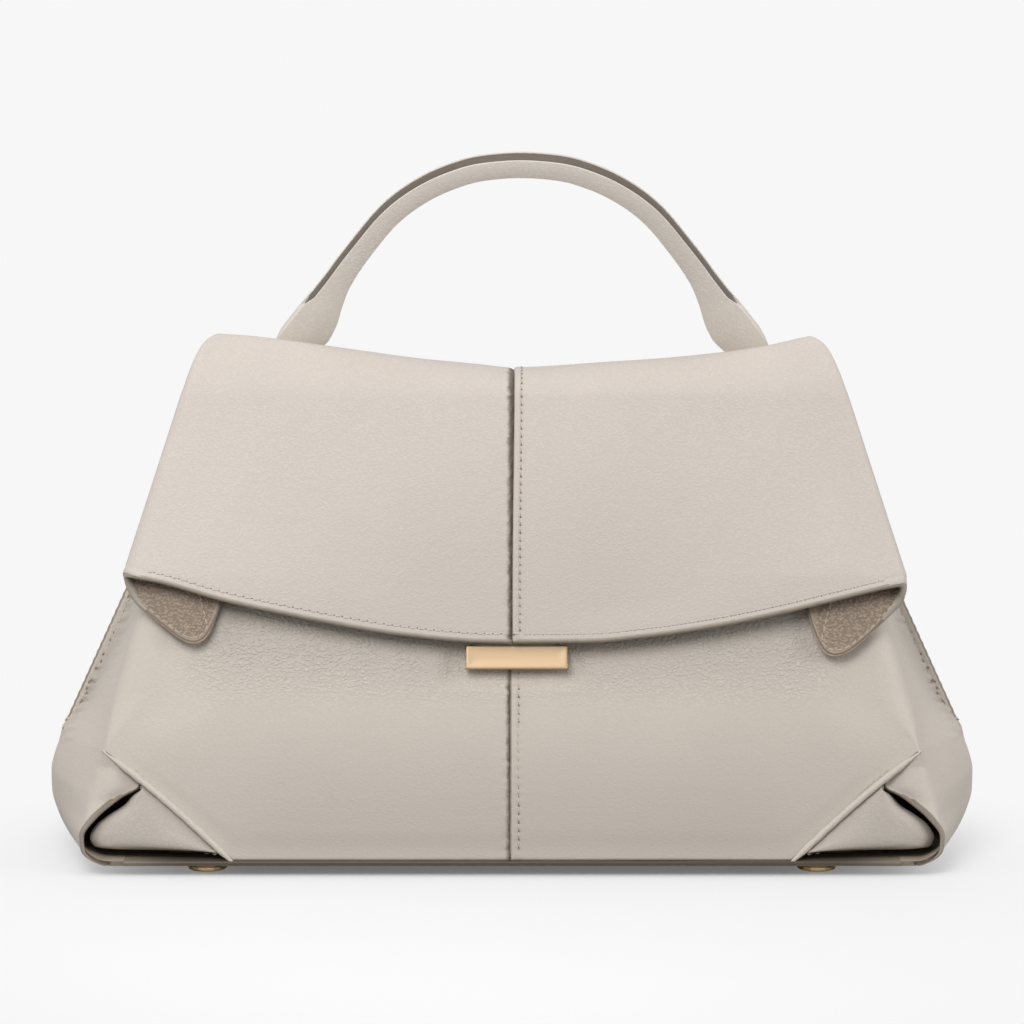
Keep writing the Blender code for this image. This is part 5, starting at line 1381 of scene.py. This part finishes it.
# The metal: the feet and the strike are plated in pale gold, and the hidden fixings in nickel, and
# these keep their solids. The press bar gets a cap with eased edges, in a duller satin gold.
def metal_finish(name, colour, roughness, lines):
    """Plated metal with faint polishing lines along the piece."""
    material, shader, place = start_finish(name, roughness, 1.0)
    stretched = place.node("ShaderNodeMapping", None, {"Vector": place, "Scale": (60.0, 900.0, 2600.0)})
    brushed = stretched.node("ShaderNodeTexNoise", None, {"Vector": stretched, "Scale": 1.0, "Detail": 3.0})
    cloudy = noise(place, 60.0, 2.0)
    set_colour(shader, toned(colour, 0.93), toned(colour, 1.05), brushed * 0.6 + cloudy * 0.4)
    finish = roughness + (brushed - 0.5) * lines + (cloudy - 0.5) * 0.06
    finish.tree.links.new(finish.socket, shader.inputs["Roughness"])
    set_relief(shader, brushed, 0.08, 0.03)
    return material


BAR_WIDE = 38.6
BAR_TALL = 8.95
BAR_FRONT = 4.9
BAR_BACK = 1.5
BAR_X = 1.8
BAR_Z = 78.85
gold = metal_finish("pale_gold", (0.90, 0.68, 0.40), 0.28, 0.14)
bar_gold = metal_finish("satin_gold", (0.475, 0.350, 0.222), 0.50, 0.10)
nickel = metal_finish("nickel", (0.56, 0.55, 0.52), 0.34, 0.12)
for name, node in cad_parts.items():
    if name.startswith("foot_nut") or name in ("lock_case", "lock_plate", "lock_spring", "lock_screw_left",
                                               "lock_screw_right"):
        metal = nickel
    elif name.startswith("foot_") or name == "lock_strike":
        metal = gold
    elif name.startswith("handle_patch"):
        metal = board
    else:
        continue
    for metal_slot in node.material_slots:
        metal_slot.material = metal


BAR_LEVELS = ((BAR_BACK, -0.35), (BAR_BACK, 0.0), (BAR_FRONT - 0.55, 0.0), (BAR_FRONT - 0.25, -0.08),
              (BAR_FRONT - 0.05, -0.28), (BAR_FRONT, -0.55), (BAR_FRONT - 0.03, -1.2),
              (BAR_FRONT - 0.10, -2.4), (BAR_FRONT - 0.14, -3.6))
bar_y = float(front_face(BAR_Z))
rings = []
for out, shrink in BAR_LEVELS:
    half_wide, half_tall = BAR_WIDE / 2 + shrink, BAR_TALL / 2 + shrink
    lx, lz = rounded_ring(half_wide, -half_tall, half_tall, max(0.12, 0.35 + shrink), 4).T
    ring = np.column_stack([BAR_X + lx, bar_y - out * LEAN_COS + lz * LEAN_SIN,
                            BAR_Z + out * LEAN_SIN + lz * LEAN_COS])
    rings.append(resampled(ring, 120))
add_piece("press_bar_cap", ring_mesh("press_bar_cap", rings, None, 30.0), (bar_gold, bar_gold), "press_bar",
          ("lock_bar",))


# The studio: pale paper that fades into a pale room. The key lamp stands high, a little left of
# the middle, with one lamp at each side and one above, and a long lens looks down a little.
PAPER = (0.930, 0.930, 0.930)


def camera_and_glossy(start):
    """Two masks: the rays from the camera, and the rays off shiny surfaces."""
    rays = start.node("ShaderNodeLightPath")
    return rays, Finish(rays.tree, rays.socket.node.outputs["Is Glossy Ray"])


def studio_finish(name):
    """Pale paper. The camera sees a faint shade under the bag, and plain paper further off."""
    material, shader, place = start_finish(name, 0.9, Specular_IOR_Level=0.0)
    tree = material.node_tree
    rays, glossy = camera_and_glossy(place)
    set_colour(shader, (0.14, 0.137, 0.134), (0.86, 0.865, 0.88), rays.math("MAXIMUM", rays, glossy))
    reach = place.node("ShaderNodeVectorMath", {"operation": "DISTANCE"},
                       {0: place, 1: (0.0, -0.10, 0.0)}, 1)
    seen = span(reach, 0.10, 0.27, 0.15, 1.0) * rays
    paper = seen.node("ShaderNodeEmission", None, {"Color": PAPER})
    mixed = seen.node("ShaderNodeMixShader", None, {0: seen, 1: Finish(tree, shader.outputs[0]), 2: paper})
    tree.links.new(mixed.socket, tree.nodes["Material Output"].inputs["Surface"])
    return material


bpy.ops.mesh.primitive_plane_add(size=400.0, location=(0.0, 0.0, 0.0))
floor = bpy.context.active_object
floor.name = "studio_floor"
floor.data.materials.append(studio_finish("studio_floor"))

world = bpy.context.scene.world or bpy.data.worlds.new("studio")
bpy.context.scene.world = world
world.use_nodes = True
sky = world.node_tree
for node in list(sky.nodes):
    sky.nodes.remove(node)
room = Finish(sky)
rays, glossy = camera_and_glossy(room)
seen = rays.math("MAXIMUM", rays, glossy * 0.55)
lit = room.node("ShaderNodeBackground", None, {"Color": (0.99, 0.995, 1.0, 1.0), "Strength": 0.36})
pale = room.node("ShaderNodeBackground", None, {"Color": PAPER, "Strength": 1.0})
mixed = room.node("ShaderNodeMixShader", None, {0: seen, 1: lit, 2: pale})
output = sky.nodes.new("ShaderNodeOutputWorld")
sky.links.new(mixed.socket, output.inputs["Surface"])


def aimed(name, data, place, target):
    """A lamp or a camera at a place, facing a point."""
    thing = bpy.data.objects.new(name, data)
    bpy.context.scene.collection.objects.link(thing)
    thing.location = place
    thing.rotation_euler = (Vector(target) - Vector(place)).to_track_quat("-Z", "Y").to_euler()
    return thing


def soft_light(name, place, target, size, power, colour):
    """A large square lamp that faces a point."""
    data = bpy.data.lights.new(name, "AREA")
    data.size = size
    data.energy = power
    data.color = colour
    aimed(name, data, place, target)


soft_light("key", (-0.30, -0.84, 0.88), (0.0, 0.0, 0.13), 0.66, 8.2, (1.0, 0.993, 0.990))
soft_light("right", (1.50, -0.42, 0.50), (0.06, 0.0, 0.07), 1.0, 10.5, (1.0, 0.990, 0.980))
soft_light("left", (-1.50, -0.45, 0.50), (-0.06, 0.0, 0.07), 0.9, 5.4, (1.0, 0.990, 0.980))
soft_light("top", (0.0, 0.25, 1.9), (0.0, 0.0, 0.1), 1.4, 6.0, (1.0, 1.0, 1.0))

lens = bpy.data.cameras.new("photo_lens")
lens.lens = 143.75
lens.sensor_width = 36.0
bpy.context.scene.camera = aimed("photo_camera", lens, (0.0, -1.5844, 0.3512), (0.0, 0.0, 0.1285))
bpy.context.scene.view_settings.view_transform = "Standard"
